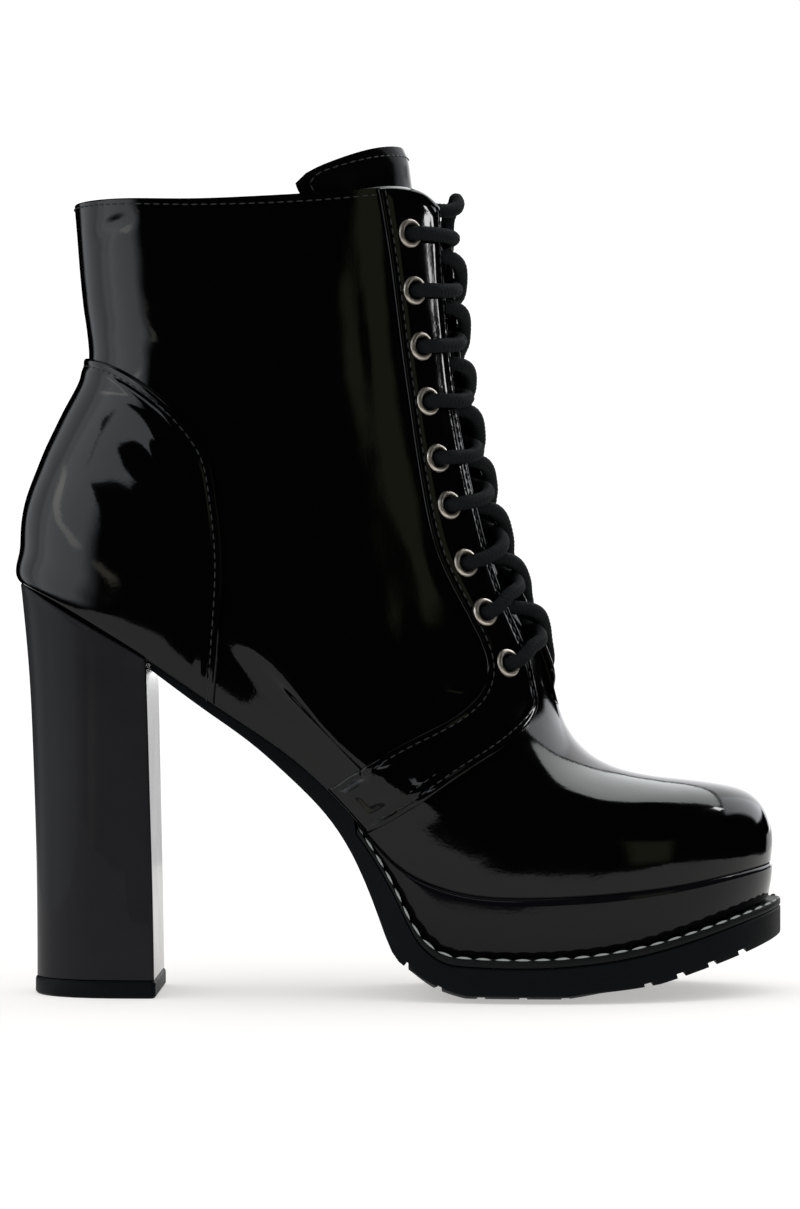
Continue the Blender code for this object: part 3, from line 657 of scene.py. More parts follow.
def blend_patch(low, high, left, right):
    """Coons patch in (turn, share) between four border lines. left and right run from low to
    high."""
    rows, columns = len(left), len(low)
    u = np.linspace(0, 1, columns)[None, :, None]
    v = np.linspace(0, 1, rows)[:, None, None]
    ruled = (1 - v) * low[None] + v * high[None] + (1 - u) * left[:, None] + u * right[:, None]
    corners = (1 - u) * (1 - v) * low[0] + u * (1 - v) * low[-1]
    corners = corners + (1 - u) * v * high[0] + u * v * high[-1]
    return ruled - corners


# Radius of a folded edge, and how deep a seam draws a panel in
FOLD = 0.8
STITCH_DIP = 0.22


def overlay(name, grid, materials, stitch_in, free=(True, True, True, True)):
    """Panel on the upper's face from a grid of (turn, share), with folded edges and a soft
    trough where its stitches lie. free says which of its low, high, left and right edges are
    folded."""
    turns, shares = grid[..., 0], grid[..., 1]
    base = face_point(turns, shares)
    edges = [base[0], base[-1], base[:, 0], base[:, -1]]
    borders = np.concatenate([resample(e, 500) for e, f in zip(edges, free) if f])
    flat = base.reshape(-1, 3)
    away = np.full(len(flat), 1e9)
    for block in np.array_split(borders, 8):
        gap = np.linalg.norm(flat[:, None] - block[None], axis=2).min(axis=1)
        away = np.minimum(away, gap)
    away = away.reshape(turns.shape)
    for edge, folded in zip((away[0], away[-1], away[:, 0], away[:, -1]), free):
        if folded:
            edge[:] = 0.0
    fold = np.sqrt(np.clip(1 - (1 - np.clip(away / FOLD, 0, 1)) ** 2, 0, 1))
    trough = STITCH_DIP * np.exp(-(((away - stitch_in) / 0.55) ** 2))
    puff = STITCH_DIP * np.exp(-(((away - stitch_in - 2.2) / 1.5) ** 2))
    high = GAP + OVERLAY * (0.25 + 0.75 * fold) - trough + puff
    top = offset_point(turns, shares, high + relief(base) * faded(shares))
    under = offset_point(turns, shares, GAP * 0.5)
    points = np.concatenate([top.reshape(-1, 3), under.reshape(-1, 3)])
    obj = mesh_object(name, points, sheet_faces(*turns.shape), materials)
    normals_out(obj)
    obj.data.set_sharp_from_angle(angle=math.radians(70))
    return obj


# Row of COUNTER_EDGE where its top ends and its side begins
COUNTER_SHOULDER = 4


def counter_grid():
    """The rounded back panel, from its outer edge round the heel to its inner edge."""
    top = list(COUNTER_EDGE[:COUNTER_SHOULDER + 1])
    side = list(COUNTER_EDGE[COUNTER_SHOULDER:])
    top_line = smooth_line(top, 60)
    side_line = smooth_line(side[:-1] + [(-55.6, 94.0)], 60)
    outer_top = on_surface(top_line, -1)
    outer_side = on_surface(side_line, -1)
    foot = turn_at(-56.0)
    outer_side = np.concatenate([outer_side, [[foot, 0.0]]])
    mirror = np.array([-1.0, 1.0])
    head = resample(np.concatenate([outer_top[::-1], [[0.0, outer_top[0, 1] + 0.001]],
                                    outer_top * mirror]), 130)
    left = resample(outer_side[::-1], 70)
    right = left * mirror
    low = np.column_stack([np.linspace(foot, -foot, 130), np.zeros(130)])
    grid = blend_patch(low, head, left, right)
    for axis in (0, 1):
        number = grid.shape[axis]
        want = closer_at_ends(number) * (number - 1)
        under = np.clip(want.astype(int), 0, number - 2)
        rest = (want - under).reshape((-1, 1, 1) if axis == 0 else (1, -1, 1))
        lower, upper = np.take(grid, under, axis), np.take(grid, under + 1, axis)
        grid = lower + (upper - lower) * rest
    return grid


def foot_turn(line, sign):
    """Turn where a side line, carried on, meets the feather line."""
    step = (line[-1] - line[-9]) / 8
    reach = line[-1] + step * np.arange(0, 80)[:, None]
    under = height(FEATHER_LINE, reach[:, 0]) - reach[:, 1]
    return sign * turn_at(float(np.interp(0.0, under, reach[:, 0])))


def facing_lines(side):
    """Back seam and front edge of a facing with its band, as (turn, share) lines that match
    from the collar down to the sole."""
    sign = -side
    seam = smooth_line(FACING_SEAM, 240)
    seam = seam[seam[:, 1] < 243.6]
    seam = np.array([p for p in seam if p[1] > height(FEATHER_LINE, p[0]) + 0.6])
    back = on_surface(seam, side)
    lowest = np.minimum.accumulate(back[:, 1])
    back = back[back[:, 1] <= lowest]
    top_turn = back[0, 0] + (back[0, 0] - back[4, 0]) * 0.5
    back = np.concatenate([[[top_turn, 1.0]], back, [[foot_turn(seam, sign), 0.0]]])
    shares = np.linspace(1.0, THROAT + 0.045, 120)
    outer, inner = slit_turns(shares)
    draw = 1.2 / half_width(np.ones_like(shares), shares)
    edge = outer + draw if side < 0 else inner - draw
    front = np.column_stack([edge, shares])
    corner = FACING_CORNER_OUTER if side < 0 else FACING_CORNER_INNER
    turned = smooth_line([*corner, *BAND_EDGE[::-1]], 160)
    turned = np.array([p for p in turned if p[1] > height(FEATHER_LINE, p[0]) + 0.6])
    band = on_surface(turned, side)
    front = np.concatenate([front, band, [[foot_turn(turned, sign), 0.0]]])
    return back, front


FACING_CORNER_OUTER = ((41.1, 92.0), (41.3, 88.0), (40.0, 84.5))
FACING_CORNER_INNER = ((47.4, 96.0), (46.6, 91.8), (43.4, 87.6))

# Places where the two lines match, as heights on the back seam and on the front edge
FACING_MATCH = (
    # seam z, front z
    (150.0, 146.0), (117.0, 108.0), (101.0, 90.0), (88.0, 79.0),
)


def matched(line, heights, counts):
    """Line resampled in pieces that are cut at the given heights, going down."""
    points = face_point(line[:, 0], line[:, 1])
    cuts = [0]
    for z in heights:
        below = np.nonzero((points[:, 2] < z) & (np.arange(len(points)) > cuts[-1]))[0]
        cuts.append(int(below[0]))
    cuts.append(len(line) - 1)
    parts = []
    for k, number in enumerate(counts):
        piece = line[cuts[k] : cuts[k + 1] + 1]
        run = points[cuts[k] : cuts[k + 1] + 1]
        length = runs(run)
        want = np.linspace(0, length[-1], number + 1)[: number if k + 1 < len(counts) else None]
        parts.append(np.column_stack([np.interp(want, length, piece[:, j]) for j in (0, 1)]))
    return np.concatenate(parts)


def closer_at_ends(number):
    """Numbers from 0 to 1, closer together near both ends."""
    even = np.linspace(0, 1, number)
    return even - 0.125 * np.sin(2 * math.pi * even)


def facing_grid(side):
    """Facing with its band, from its back seam to its front edge."""
    back, front = facing_lines(side)
    counts = (90, 36, 22, 18, 60)
    back = matched(back, [m[0] for m in FACING_MATCH], counts)
    front = matched(front, [m[1] for m in FACING_MATCH], counts)
    across = closer_at_ends(34)
    grid = back[None] + (front - back)[None] * across[:, None, None]
    grid[:, 0, 1] = 1.0
    grid[:, -1, 1] = 0.0
    return grid


# ---- stitches ----


def capsule_rows(starts, ends, ups, radius, arch=0.35, sides=6, rings=5):
    """Points and faces of many little stitches, each from a start to an end."""
    t = np.linspace(0, 1, rings)
    swell = np.sqrt(np.clip(1 - (2 * t - 1) ** 2 * 0.97, 0, 1))
    along = unit(ends - starts)
    across = unit(np.cross(along, ups))
    up = np.cross(across, along)
    centre = starts[:, None] + (ends - starts)[:, None] * t[None, :, None]
    centre = centre + up[:, None] * (arch * radius * np.sin(math.pi * t))[None, :, None]
    angle = np.linspace(0, 2 * math.pi, sides, endpoint=False)
    ring = (across[:, None, None] * np.cos(angle)[None, None, :, None]
            + up[:, None, None] * np.sin(angle)[None, None, :, None])
    points = centre[:, :, None] + ring * (radius * swell)[None, :, None, None]
    number = len(starts)
    block = rings * sides
    faces = quads(rings, sides, around=True)
    all_faces = (faces[None] + np.arange(number)[:, None, None] * block).reshape(-1, 4)
    caps = []
    for k in range(number):
        caps.append(tuple(k * block + np.arange(sides)[::-1]))
        caps.append(tuple(k * block + (rings - 1) * sides + np.arange(sides)))
    return points.reshape(-1, 3), [tuple(f) for f in all_faces] + caps


def stitch_row(name, path, ups, pitch, share, radius, material, arch=0.35):
    """Row of stitches along a path, as one mesh. share is a stitch's part of the pitch."""
    run = runs(path)
    number = int(run[-1] / pitch)
    first = (run[-1] - number * pitch) / 2 + pitch * (1 - share) / 2
    begin = first + pitch * np.arange(number)

    def read(where, table):
        return np.column_stack([np.interp(where, run, table[:, k]) for k in range(3)])

    starts, ends = read(begin, path), read(begin + pitch * share, path)
    up = unit(read(begin + pitch * share / 2, ups))
    points, faces = capsule_rows(starts, ends, up, radius, arch)
    return place(mesh_object(name, points, faces, [material]), "waxed_cotton")


STITCH_PITCH = 2.9
STITCH_SHARE = 0.74
STITCH_RADIUS = 0.24
ON_PANEL = GAP + OVERLAY - 0.1


def black_stitches(name, path, ups):
    stitch_row(name, path, ups, STITCH_PITCH, STITCH_SHARE, STITCH_RADIUS, THREAD_PAINTED_GLINT)


def sew(name, line, inset, sign, out=ON_PANEL, count=400):
    """Black stitches beside a (turn, share) line."""
    black_stitches(name, *seam_path(line, inset, out, sign, count))


def seam_path(line, inset, out, side_sign, count):
    """Path beside a (turn, share) line: inset to one side of it on the face, and out from it."""
    turns, shares = line[:, 0], line[:, 1]
    base = offset_point(turns, shares, out)
    even = resample(np.column_stack([base, turns, shares]), count)
    base, turns, shares = even[:, :3], even[:, 3], even[:, 4]
    normal = face_normal(turns, shares)
    along = unit(np.gradient(base, axis=0))
    beside = unit(np.cross(normal, along))
    moved = base + beside * inset * side_sign
    return moved + normal * (relief(moved) * faded(shares))[:, None], normal


# ---- materials ----


def nodes_of(name):
    """New material, its node tree, its shader and its object coordinates."""
    material = bpy.data.materials.new(name)
    material.use_nodes = True
    tree = material.node_tree
    coords = tree.nodes.new("ShaderNodeTexCoord").outputs["Object"]
    return material, tree, tree.nodes["Principled BSDF"], coords


def noise(tree, coords, scale, detail=3.0, rough=0.5):
    node = tree.nodes.new("ShaderNodeTexNoise")
    set_inputs(node, {"Scale": scale, "Detail": detail, "Roughness": rough})
    tree.links.new(coords, node.inputs["Vector"])
    return node.outputs["Fac"]


def vary_roughness(tree, shader, value, to_low, to_high):
    """Roughness that follows a noise, whose middle part counts."""
    node = tree.nodes.new("ShaderNodeMapRange")
    set_inputs(node, {"From Min": 0.3, "From Max": 0.7, "To Min": to_low, "To Max": to_high})
    tree.links.new(value, node.inputs["Value"])
    tree.links.new(node.outputs["Result"], shader.inputs["Roughness"])


def bump(tree, value, strength, distance, under=None):
    node = tree.nodes.new("ShaderNodeBump")
    set_inputs(node, {"Strength": strength, "Distance": distance})
    tree.links.new(value, node.inputs["Height"])
    if under is not None:
        tree.links.new(under, node.inputs["Normal"])
    return node.outputs["Normal"]


def two_tones(tree, shader, blend, one, two):
    """Base colour that wanders between two tones."""
    mix = tree.nodes.new("ShaderNodeMix")
    mix.data_type = "RGBA"
    mix.inputs["A"].default_value = (*one, 1)
    mix.inputs["B"].default_value = (*two, 1)
    tree.links.new(blend, mix.inputs["Factor"])
    tree.links.new(mix.outputs["Result"], shader.inputs["Base Color"])


def times(colour, share):
    return [c * share for c in colour]


def set_inputs(shader, values):
    for name, value in values.items():
        shader.inputs[name].default_value = value


def patent_material(name, colour, wave=1.0, rough=0.05, ior=1.28, coat=0.1):
    """Coated leather: near black under a clear, slightly wavy film."""
    material, tree, shader, coords = nodes_of(name)
    slow = noise(tree, coords, 38.0, 2.0)
    pores = noise(tree, coords, 900.0, 2.0)
    haze = noise(tree, coords, 55.0, 4.0, 0.6)
    two_tones(tree, shader, haze, colour, times(colour, 1.5))
    vary_roughness(tree, shader, haze, rough, rough + 0.05)
    first = bump(tree, slow, 0.16 * wave, 0.004)
    tree.links.new(bump(tree, pores, 0.035, 0.0004, first), shader.inputs["Normal"])
    set_inputs(shader, {"IOR": ior, "Coat Weight": coat, "Coat Roughness": 0.02})
    tree.links.new(first, shader.inputs["Coat Normal"])
    return material


def rubber_material(name, colour, rough):
    material, tree, shader, coords = nodes_of(name)
    fine = noise(tree, coords, 1400.0, 4.0, 0.6)
    patchy = noise(tree, coords, 60.0, 4.0, 0.6)
    two_tones(tree, shader, patchy, colour, times(colour, 1.8))
    vary_roughness(tree, shader, patchy, rough - 0.07, rough + 0.08)
    tree.links.new(bump(tree, fine, 0.25, 0.0003), shader.inputs["Normal"])
    shader.inputs["IOR"].default_value = 1.13
    return material


def fabric_material(name, colour, rough=0.85, weave=1500.0, sheen=0.25):
    material, tree, shader, coords = nodes_of(name)
    fine = noise(tree, coords, weave, 3.0, 0.6)
    slow = noise(tree, coords, 90.0, 4.0, 0.6)
    two_tones(tree, shader, fine, times(colour, 0.7), times(colour, 1.5))
    vary_roughness(tree, shader, slow, rough - 0.08, rough + 0.08)
    tree.links.new(bump(tree, fine, 0.5, 0.0004), shader.inputs["Normal"])
    set_inputs(shader, {"IOR": 1.22, "Sheen Weight": sheen, "Sheen Roughness": 0.4})
    return material


def metal_material():
    """Nickel with the darker film of age."""
    material, tree, shader, coords = nodes_of("nickel")
    patchy = noise(tree, coords, 420.0, 4.0, 0.65)
    fine = noise(tree, coords, 2600.0, 3.0)
    two_tones(tree, shader, patchy, (0.42, 0.38, 0.32), (0.86, 0.80, 0.70))
    vary_roughness(tree, shader, patchy, 0.52, 0.36)
    tree.links.new(bump(tree, fine, 0.12, 0.0002), shader.inputs["Normal"])
    shader.inputs["Metallic"].default_value = 1.0
    return material


# ---- tongue ----


def tongue_form(rows=64, columns=46):
    """Grid of the tongue's outer face, from its foot to its rounded top."""
    across = np.linspace(-1, 1, columns)
    lines = [tongue_row(*entry, across) for entry in TONGUE]
    for half_turn, lean, middle_z, side_z in TONGUE_TOP:
        row = tongue_row(1.0, half_turn, lean, across)
        row[:, 2] = side_z + (middle_z - side_z) * (1 - np.abs(across) ** 2.2) ** 0.65
        lines.append(row)
    lines = np.array(lines)
    knots = runs(lines[:, columns // 2])
    grid = spline(knots, lines, np.linspace(0, knots[-1], rows))
    normal = unit(np.cross(np.gradient(grid, axis=1), np.gradient(grid, axis=0)))
    if normal[rows // 2, columns // 2, 0] < 0:
        normal = -normal
    return grid, normal


TONGUE_ROUND = 1.2


def make_tongue(materials):
    """Tongue with a rounded edge and a stitch line pressed into it."""
    outer, normal = tongue_form()
    rows, columns = outer.shape[:2]
    edges = np.concatenate([outer[-1], outer[:, 0], outer[:, -1]])
    flat = outer.reshape(-1, 3)
    away = np.linalg.norm(flat[:, None] - edges[None], axis=2).min(axis=1).reshape(rows, columns)
    bevel = np.clip(away / TONGUE_ROUND, 0, 1)
    thick = TONGUE_THICK / 2 * np.sqrt(np.clip(1 - (1 - bevel) ** 2, 0.02, 1))
    thick = thick - 0.25 * np.exp(-(((away - 2.6) / 0.6) ** 2))
    middle = outer - normal * TONGUE_THICK / 2
    front, back = middle + normal * thick[..., None], middle - normal * thick[..., None]
    faces = sheet_faces(rows, columns)
    lined = (rows - 1) * (columns - 1)
    marks = [0] * lined + [1] * lined + [0] * (len(faces) - 2 * lined)
    points = np.concatenate([front.reshape(-1, 3), back.reshape(-1, 3)])
    obj = mesh_object("tongue_leather", points, faces, materials, marks)
    normals_out(obj)
    return place(obj, "black_patent", "tongue"), front, normal


# ---- sole ----

def level(x):
    """The platform's edge beyond the feather line."""
    return np.full(np.shape(x), PLATFORM_EDGE)


def sole_plan(x_from, edge, steps=150, extra=()):
    """Plan outline of a sole layer as a function of how far it is drawn in. It runs from the toe
    round the inner side to x_from and back on the outer side, and it stands outside the feather
    line by edge(x)."""
    start = turn_at(x_from)
    places = np.linspace(0, math.pi, steps + 1)
    places = places[places > start + 0.006]
    turns = np.sort([start, *places, *(turn_at(x) for x in extra)])[::-1]

    def plan(drawn_in):
        lateral = flat_offset(turns, edge, drawn_in)
        medial = flat_offset(-turns, edge, drawn_in)
        if x_from <= RINGS[0][1]:
            medial = medial[:-1]
        return np.concatenate([medial, lateral[:0:-1]])

    return plan


def sole_layer(name, plan, profile, low, top, materials, under_rise=None, sharp=40.0):
    """Sole layer from rings: each entry of profile is (drawn in, share of the height, extra z)."""
    rings = []
    for drawn_in, share, extra in profile:
        ring = plan(drawn_in)
        z_low, z_top = low(ring[:, 0]), top(ring[:, 0])
        z = z_low + (z_top - z_low) * share + extra
        if under_rise is not None and share < 0.5 and drawn_in < 1.0:
            z = z + under_rise(ring[:, 0])
        rings.append(np.column_stack([ring, z]))
    return loft(name, rings, materials, sharp)


def make_platform(materials):
    taper = PLATFORM_TAPER
    profile = [(taper + 1.2, 0, 0.0), (taper + 0.4, 0, 0.15), (taper, 0, 0.7)]
    profile += [(taper * (1 - s) - 0.35 * math.sin(math.pi * s), s, 0.0)
                for s in (0.12, 0.25, 0.38, 0.5, 0.62, 0.75, 0.86)]
    profile += [(0.02, 1, -1.2), (0.25, 1, -0.55), (0.8, 1, -0.12), (1.8, 1, 0.0)]
    obj = sole_layer("platform_wrap", sole_plan(PLATFORM_START, level), profile,
                     on_line(PLATFORM_BASE), on_line(FEATHER_LINE, -GAP), materials)
    return place(obj, "black_patent", "platform")


def make_welt(materials):
    profile = [(1.2, 0, 0.0), (0.2, 0, 0.0), (0.0, 0, 0.3), (0.0, 1, -0.9), (0.25, 1, -0.4),
               (0.8, 1, -0.1), (1.4, 1, 0.0), (2.2, 1, 0.0)]
    obj = sole_layer("welt_strip", sole_plan(PLATFORM_START, welt_edge), profile,
                     on_line(PLATFORM_BASE, -GAP - WELT_THICK), on_line(PLATFORM_BASE, -GAP),
                     materials)
    return place(obj, "black_rubber", "welt")


def make_outsole(materials):
    step = (PLATFORM_START - 3 * GAP, PLATFORM_START - GAP)
    plan = sole_plan(OUTSOLE_START, welt_edge, 180, step)
    profile = [(CAMBER_WIDE, 0, 0.0), (0.5, 0, 0.0), (0.1, 0, 0.25), (0.0, 0, 0.8),
               (0.0, 0.3, 0.0), (0.0, 0.62, 0.0), (0.0, 1, -0.5), (0.4, 1, -0.05), (1.2, 1, 0.0)]
    obj = sole_layer("outsole_rubber", plan, profile, outsole_base, outsole_top, materials,
                     camber, 30.0)
    tool = groove_tool()
    cut = obj.modifiers.new("grooves", "BOOLEAN")
    cut.solver = "EXACT"
    cut.operation = "DIFFERENCE"
    cut.object = tool
    graph = bpy.context.evaluated_depsgraph_get()
    mesh = bpy.data.meshes.new_from_object(obj.evaluated_get(graph))
    obj.modifiers.clear()
    obj.data = mesh
    mesh.shade_smooth()
    mesh.set_sharp_from_angle(angle=math.radians(30))
    bpy.data.objects.remove(tool)
    return place(obj, "black_rubber", "outsole")


def groove_tool():
    """Boxes where the gaps between the lugs are, wide under the foot and narrow at the side."""
    work = bmesh.new()
    for x, deep in LUG_GROOVES:
        low, middle, high = outsole_base(np.array([x - 2.0, x, x + 2.0]))
        slope = math.atan2(high - low, 4.0)
        spot = Matrix.Translation((Vector((x, 0, middle)) + Vector(SHIFT)) * MM)
        turned = spot @ Matrix.Rotation(-slope, 4, "Y")
        size = Matrix.Diagonal((GROOVE_WIDE * MM, 0.2, 2 * deep * MM, 1.0))
        bmesh.ops.create_cube(work, size=1.0, matrix=turned @ size)
    mesh = bpy.data.meshes.new("groove_tool")
    work.to_mesh(mesh)
    work.free()
    obj = bpy.data.objects.new("groove_tool", mesh)
    bpy.context.scene.collection.objects.link(obj)
    return obj


def make_insole(materials):
    def edge(x):
        return np.full(np.shape(x), -(WALL + 2 * GAP))

    profile = [(0.4, 0, 0.0), (0.0, 0, 0.4), (0.0, 1, -0.8), (0.25, 1, -0.25), (0.9, 1, 0.0),
               (6.0, 1, 0.0)]
    obj = sole_layer("insole_sock", sole_plan(RINGS[0][1], edge), profile,
                     on_line(FEATHER_LINE), on_line(FEATHER_LINE, INSOLE_THICK), materials)
    return place(obj, "black_lining", "insole")


# ---- heel ----


def make_heel(materials):
    """Block heel under the feather line. Its breast has a material of its own."""
    shares = np.linspace(0, 1, 44)
    form = spline(column(HEEL_FORM, 0)[:, 0], column(HEEL_FORM, 1, 2, 3), shares)
    base = LIFT_THICK + GAP
    rings = []
    for share, (back, breast, half) in zip(shares, form):
        plan = heel_plan(back, breast, half)
        seat = height(FEATHER_LINE, plan[:, 0]) - GAP
        rings.append(np.column_stack([plan, base + share * (seat - base)]))
    top = rings[-1].copy()
    middle = top.mean(axis=0)
    rings[-1][:, 2] -= 0.5
    top[:, :2] = middle[:2] + (top[:, :2] - middle[:2]) * 0.985
    rings.append(top)
    obj = loft("heel_wrap", rings, materials, 55.0)
    for face in obj.data.polygons:
        face.material_index = int(face.normal.x > 0.8)
    return place(obj, "black_patent", "heel")


def heel_plan(back, breast, half, corner=1.3):
    """D-shaped section: a flat breast with rounded corners, sides that draw in, a round back."""
    share = np.sin(np.linspace(0, math.pi / 2, 40))
    x = breast + (back - breast) * share
    y = half * np.clip(1 - share**3.0, 0, 1) ** 0.5
    near = x > breast - corner
    side = np.column_stack([x[~near], y[~near]])
    turn = np.radians([0, 20, 40, 60, 78])
    bend = np.column_stack([breast - corner + corner * np.cos(turn),
                            half - corner + corner * np.sin(turn)])
    flat = np.column_stack([np.full(5, breast), (half - corner) * np.linspace(0.0, 0.97, 5)])
    medial = np.concatenate([flat, bend, side])
    medial[-1, 1] = 0.0
    lateral = medial[1:-1] * np.array([1, -1])
    return np.concatenate([medial, lateral[::-1]])


def make_heel_tip(materials):
    back, breast, half = HEEL_FORM[0][1:]
    rings = []
    profile = ((0.0, -0.4), (0.15, 0.0), (0.7, LIFT_PROUD), (4.4, LIFT_PROUD), (4.9, 0.35),
               (LIFT_THICK, 0.0))
    for z, out in profile:
        plan = heel_plan(back - out, breast + out, half + out)
        rings.append(np.column_stack([plan, np.full(len(plan), z)]))
    return place(loft("heel_top_lift", rings, materials, 40.0), "black_rubber", "heel_tip")


# ---- eyelets ----

EYELET_PROFILE = (
    # radius, height above the facing
    (4.36, 0.00), (4.40, 0.18), (4.28, 0.52), (3.95, 0.90), (3.45, 1.05), (3.00, 0.92),
    (2.68, 0.58), (2.52, 0.10), (2.50, -1.60), (2.62, -1.70), (2.75, -1.60), (2.80, 0.00),
)


def eyelet_frame(share, side):
    """Centre of an eyelet on the facing and its three axes: out, along the slit and across."""
    turn = eyelet_turn(share, side)
    seat = GAP + OVERLAY - 0.05
    spot = offset_point(turn, share, seat)
    out = face_normal(np.array(turn), np.array(share))
    up = offset_point(turn, share + 0.01, seat) - offset_point(turn, share - 0.01, seat)
    up = unit(up - out * np.dot(up, out))
    return spot, out, up, np.cross(up, out)


def make_eyelet(name, share, side, material, node):
    spot, out, up, across = eyelet_frame(share, side)
    steps = 40
    angle = np.linspace(0, 2 * math.pi, steps, endpoint=False)
    ring = np.cos(angle)[:, None] * across + np.sin(angle)[:, None] * up
    rings = [spot + ring * radius + out * high for radius, high in EYELET_PROFILE]
    rings.append(rings[0])
    faces = [tuple(f) for f in quads(len(rings), steps, around=True)]
    obj = mesh_object(name, np.concatenate(rings), faces, [material])
    normals_out(obj)
    return place(obj, "aged_nickel", node)


# ---- lace ----

# Radius of a strand, faces round it, and its braid: turns to a millimetre and depth
STRAND = 2.15
STRAND_SIDES = 20
BRAID_TURN = 3.4
BRAID_DEEP = 0.030
LACE_RISE = (
    # heights as shares of the way to the next eyelet. Outer strand: at its own edge of the slit
    # and at the other one. Inner strand: before its own edge, at it and at the other one
    (0.30, 0.75, 0.60, 0.85, 1.10),
    (0.34, 0.85, 0.50, 0.72, 1.13),
    (0.17, 0.68, 0.34, 0.62, 1.00),
    (0.15, 0.55, 0.32, 0.66, 1.02),
    (0.07, 0.38, 0.32, 0.58, 0.92),
    (0.05, 0.25, 0.28, 0.50, 0.76),
    (0.07, 0.32, 0.14, 0.46, 0.80),
    (0.05, 0.20, 0.05, 0.30, 0.70),
    (0.02, 0.05, 0.20, 0.52, 0.72),
)
# Height from the top eyelet to where a next one would be
TOP_RISE = 14.5


def lace_point(turn, side, place, z, out):
    """Point of a strand at a height. place is 0 at its eyelet, 1 at its own edge of the slit and
    2 at the other one."""
    shares = np.linspace(0.30, 1.0, 281)
    outer, inner = slit_turns(shares)
    own, other = (outer, inner + 2 * math.pi) if side < 0 else (inner, outer - 2 * math.pi)
    if place <= 1:
        turns = turn + (own - turn) * place
    else:
        turns = own + (other - own) * (place - 1)
    line = offset_point(turns, shares, out)
    point = np.array([np.interp(z, line[:, 2], line[:, k]) for k in range(3)])
    point[2] = max(point[2], z)
    return point


# Stops of a strand after its eyelet: its place, as lace_point reads it, how far it has climbed
# between two of its heights in LACE_RISE (0 is its eyelet), and its distance out
OVER = GAP + OVERLAY + STRAND
UNDER = -WALL - 1.8
OUTER_STOPS = (
    # place, from height, to height, share between them, more height, out
    (0.55, 0, 1, 0.50, 0.0, OVER + 0.45), (1.02, 0, 1, 1.00, 0.0, OVER + 0.15),
    (1.30, 1, 2, 0.33, 0.0, OVER - 1.0), (1.62, 1, 2, 0.72, 0.0, OVER - 3.1),
    (1.96, 1, 2, 1.00, 0.0, -WALL - 0.6), (2.10, 1, 2, 1.00, 0.10, UNDER),
)
INNER_STOPS = (
    (0.45, 0, 3, 0.70, 0.0, OVER + 0.2), (0.78, 3, 4, 0.30, 0.0, OVER - 0.1),
    (1.04, 3, 4, 0.85, 0.0, OVER - 0.35), (1.30, 4, 5, 0.55, 0.0, OVER - 0.6),
    (1.60, 4, 5, 0.92, 0.0, OVER - 1.9), (1.95, 4, 5, 1.00, 0.0, -WALL - 0.4),
    (2.10, 4, 5, 1.00, -0.02, UNDER),
)
# The last inner strand goes back under the facing as the lace's end
END_STOPS = (
    (0.40, 0, 0, 0.0, 0.62, OVER + 0.2), (0.72, 0, 0, 0.0, 0.90, OVER + 0.2),
    (1.00, 0, 0, 0.0, 0.98, OVER - 0.5), (1.22, 0, 0, 0.0, 0.84, OVER - 0.7),
    (1.50, 0, 0, 0.0, 0.66, OVER - 2.6), (1.80, 0, 0, 0.0, 0.62, -WALL - 0.4),
    (2.10, 0, 0, 0.0, 0.60, UNDER),
)


def lace_lines():
    """Centre lines of the strands: each comes up through its eyelet, crosses over the slit and
    goes under the other facing to the next eyelet."""
    lines = {}
    centres = [eyelet_frame(share, -1)[0][2] for share in EYELET_SHARES]
    steps = [*np.diff(centres), TOP_RISE]
    for row, share in enumerate(EYELET_SHARES):
        climbs = (0.0, *LACE_RISE[row])
        for side in (-1, 1):
            turn = eyelet_turn(share, side)
            spot, out = eyelet_frame(share, side)[:2]
            inward = unit(offset_point(turn * 1.03, share, 0.0) - offset_point(turn, share, 0.0))
            points = [
                spot - inward * 0.6 - out * 4.5,
                spot + inward * 0.1 - out * 1.2,
                spot + inward * 1.5 + out * 1.9,
            ]
            stops = OUTER_STOPS if side < 0 else INNER_STOPS
            if side > 0 and row == len(EYELET_SHARES) - 1:
                stops = END_STOPS
            for place, one, two, part, more, distance in stops:
                climb = climbs[one] + (climbs[two] - climbs[one]) * part + more
                z = centres[row] + steps[row] * climb
                points.append(lace_point(turn, side, place, z, distance))
            lines[row, side] = np.array(points)
    return lines


def strand_mesh(name, line, material, nodes):
    """Round braided strand: the braid is a fine helix in its surface."""
    path = smooth_line(line, 120)
    along = unit(np.gradient(path, axis=0))
    normal = np.zeros_like(path)
    start = np.cross(along[0], [0.0, 0.0, 1.0])
    normal[0] = unit(start[None])[0]
    for i in range(1, len(path)):
        n = normal[i - 1] - along[i] * np.dot(normal[i - 1], along[i])
        normal[i] = n / np.linalg.norm(n)
    other = np.cross(along, normal)
    angle = np.linspace(0, 2 * math.pi, STRAND_SIDES, endpoint=False)
    run = runs(path)
    one = np.sin(angle[None] * 4 + run[:, None] * BRAID_TURN)
    two = np.sin(angle[None] * 4 - run[:, None] * BRAID_TURN)
    radius = STRAND * (1 + BRAID_DEEP * one + BRAID_DEEP * two)
    turned = angle[None, :, None]
    ring = normal[:, None] * np.cos(turned) + other[:, None] * np.sin(turned)
    points = path[:, None] + ring * radius[..., None]
    faces = [tuple(f) for f in quads(len(path), STRAND_SIDES, around=True)]
    faces.append(tuple(range(STRAND_SIDES))[::-1])
    faces.append(tuple((len(path) - 1) * STRAND_SIDES + np.arange(STRAND_SIDES)))
    obj = mesh_object(name, points.reshape(-1, 3), faces, [material])
    normals_out(obj)
    return place(obj, "waxed_cotton", *nodes)


# ---- making it all ----

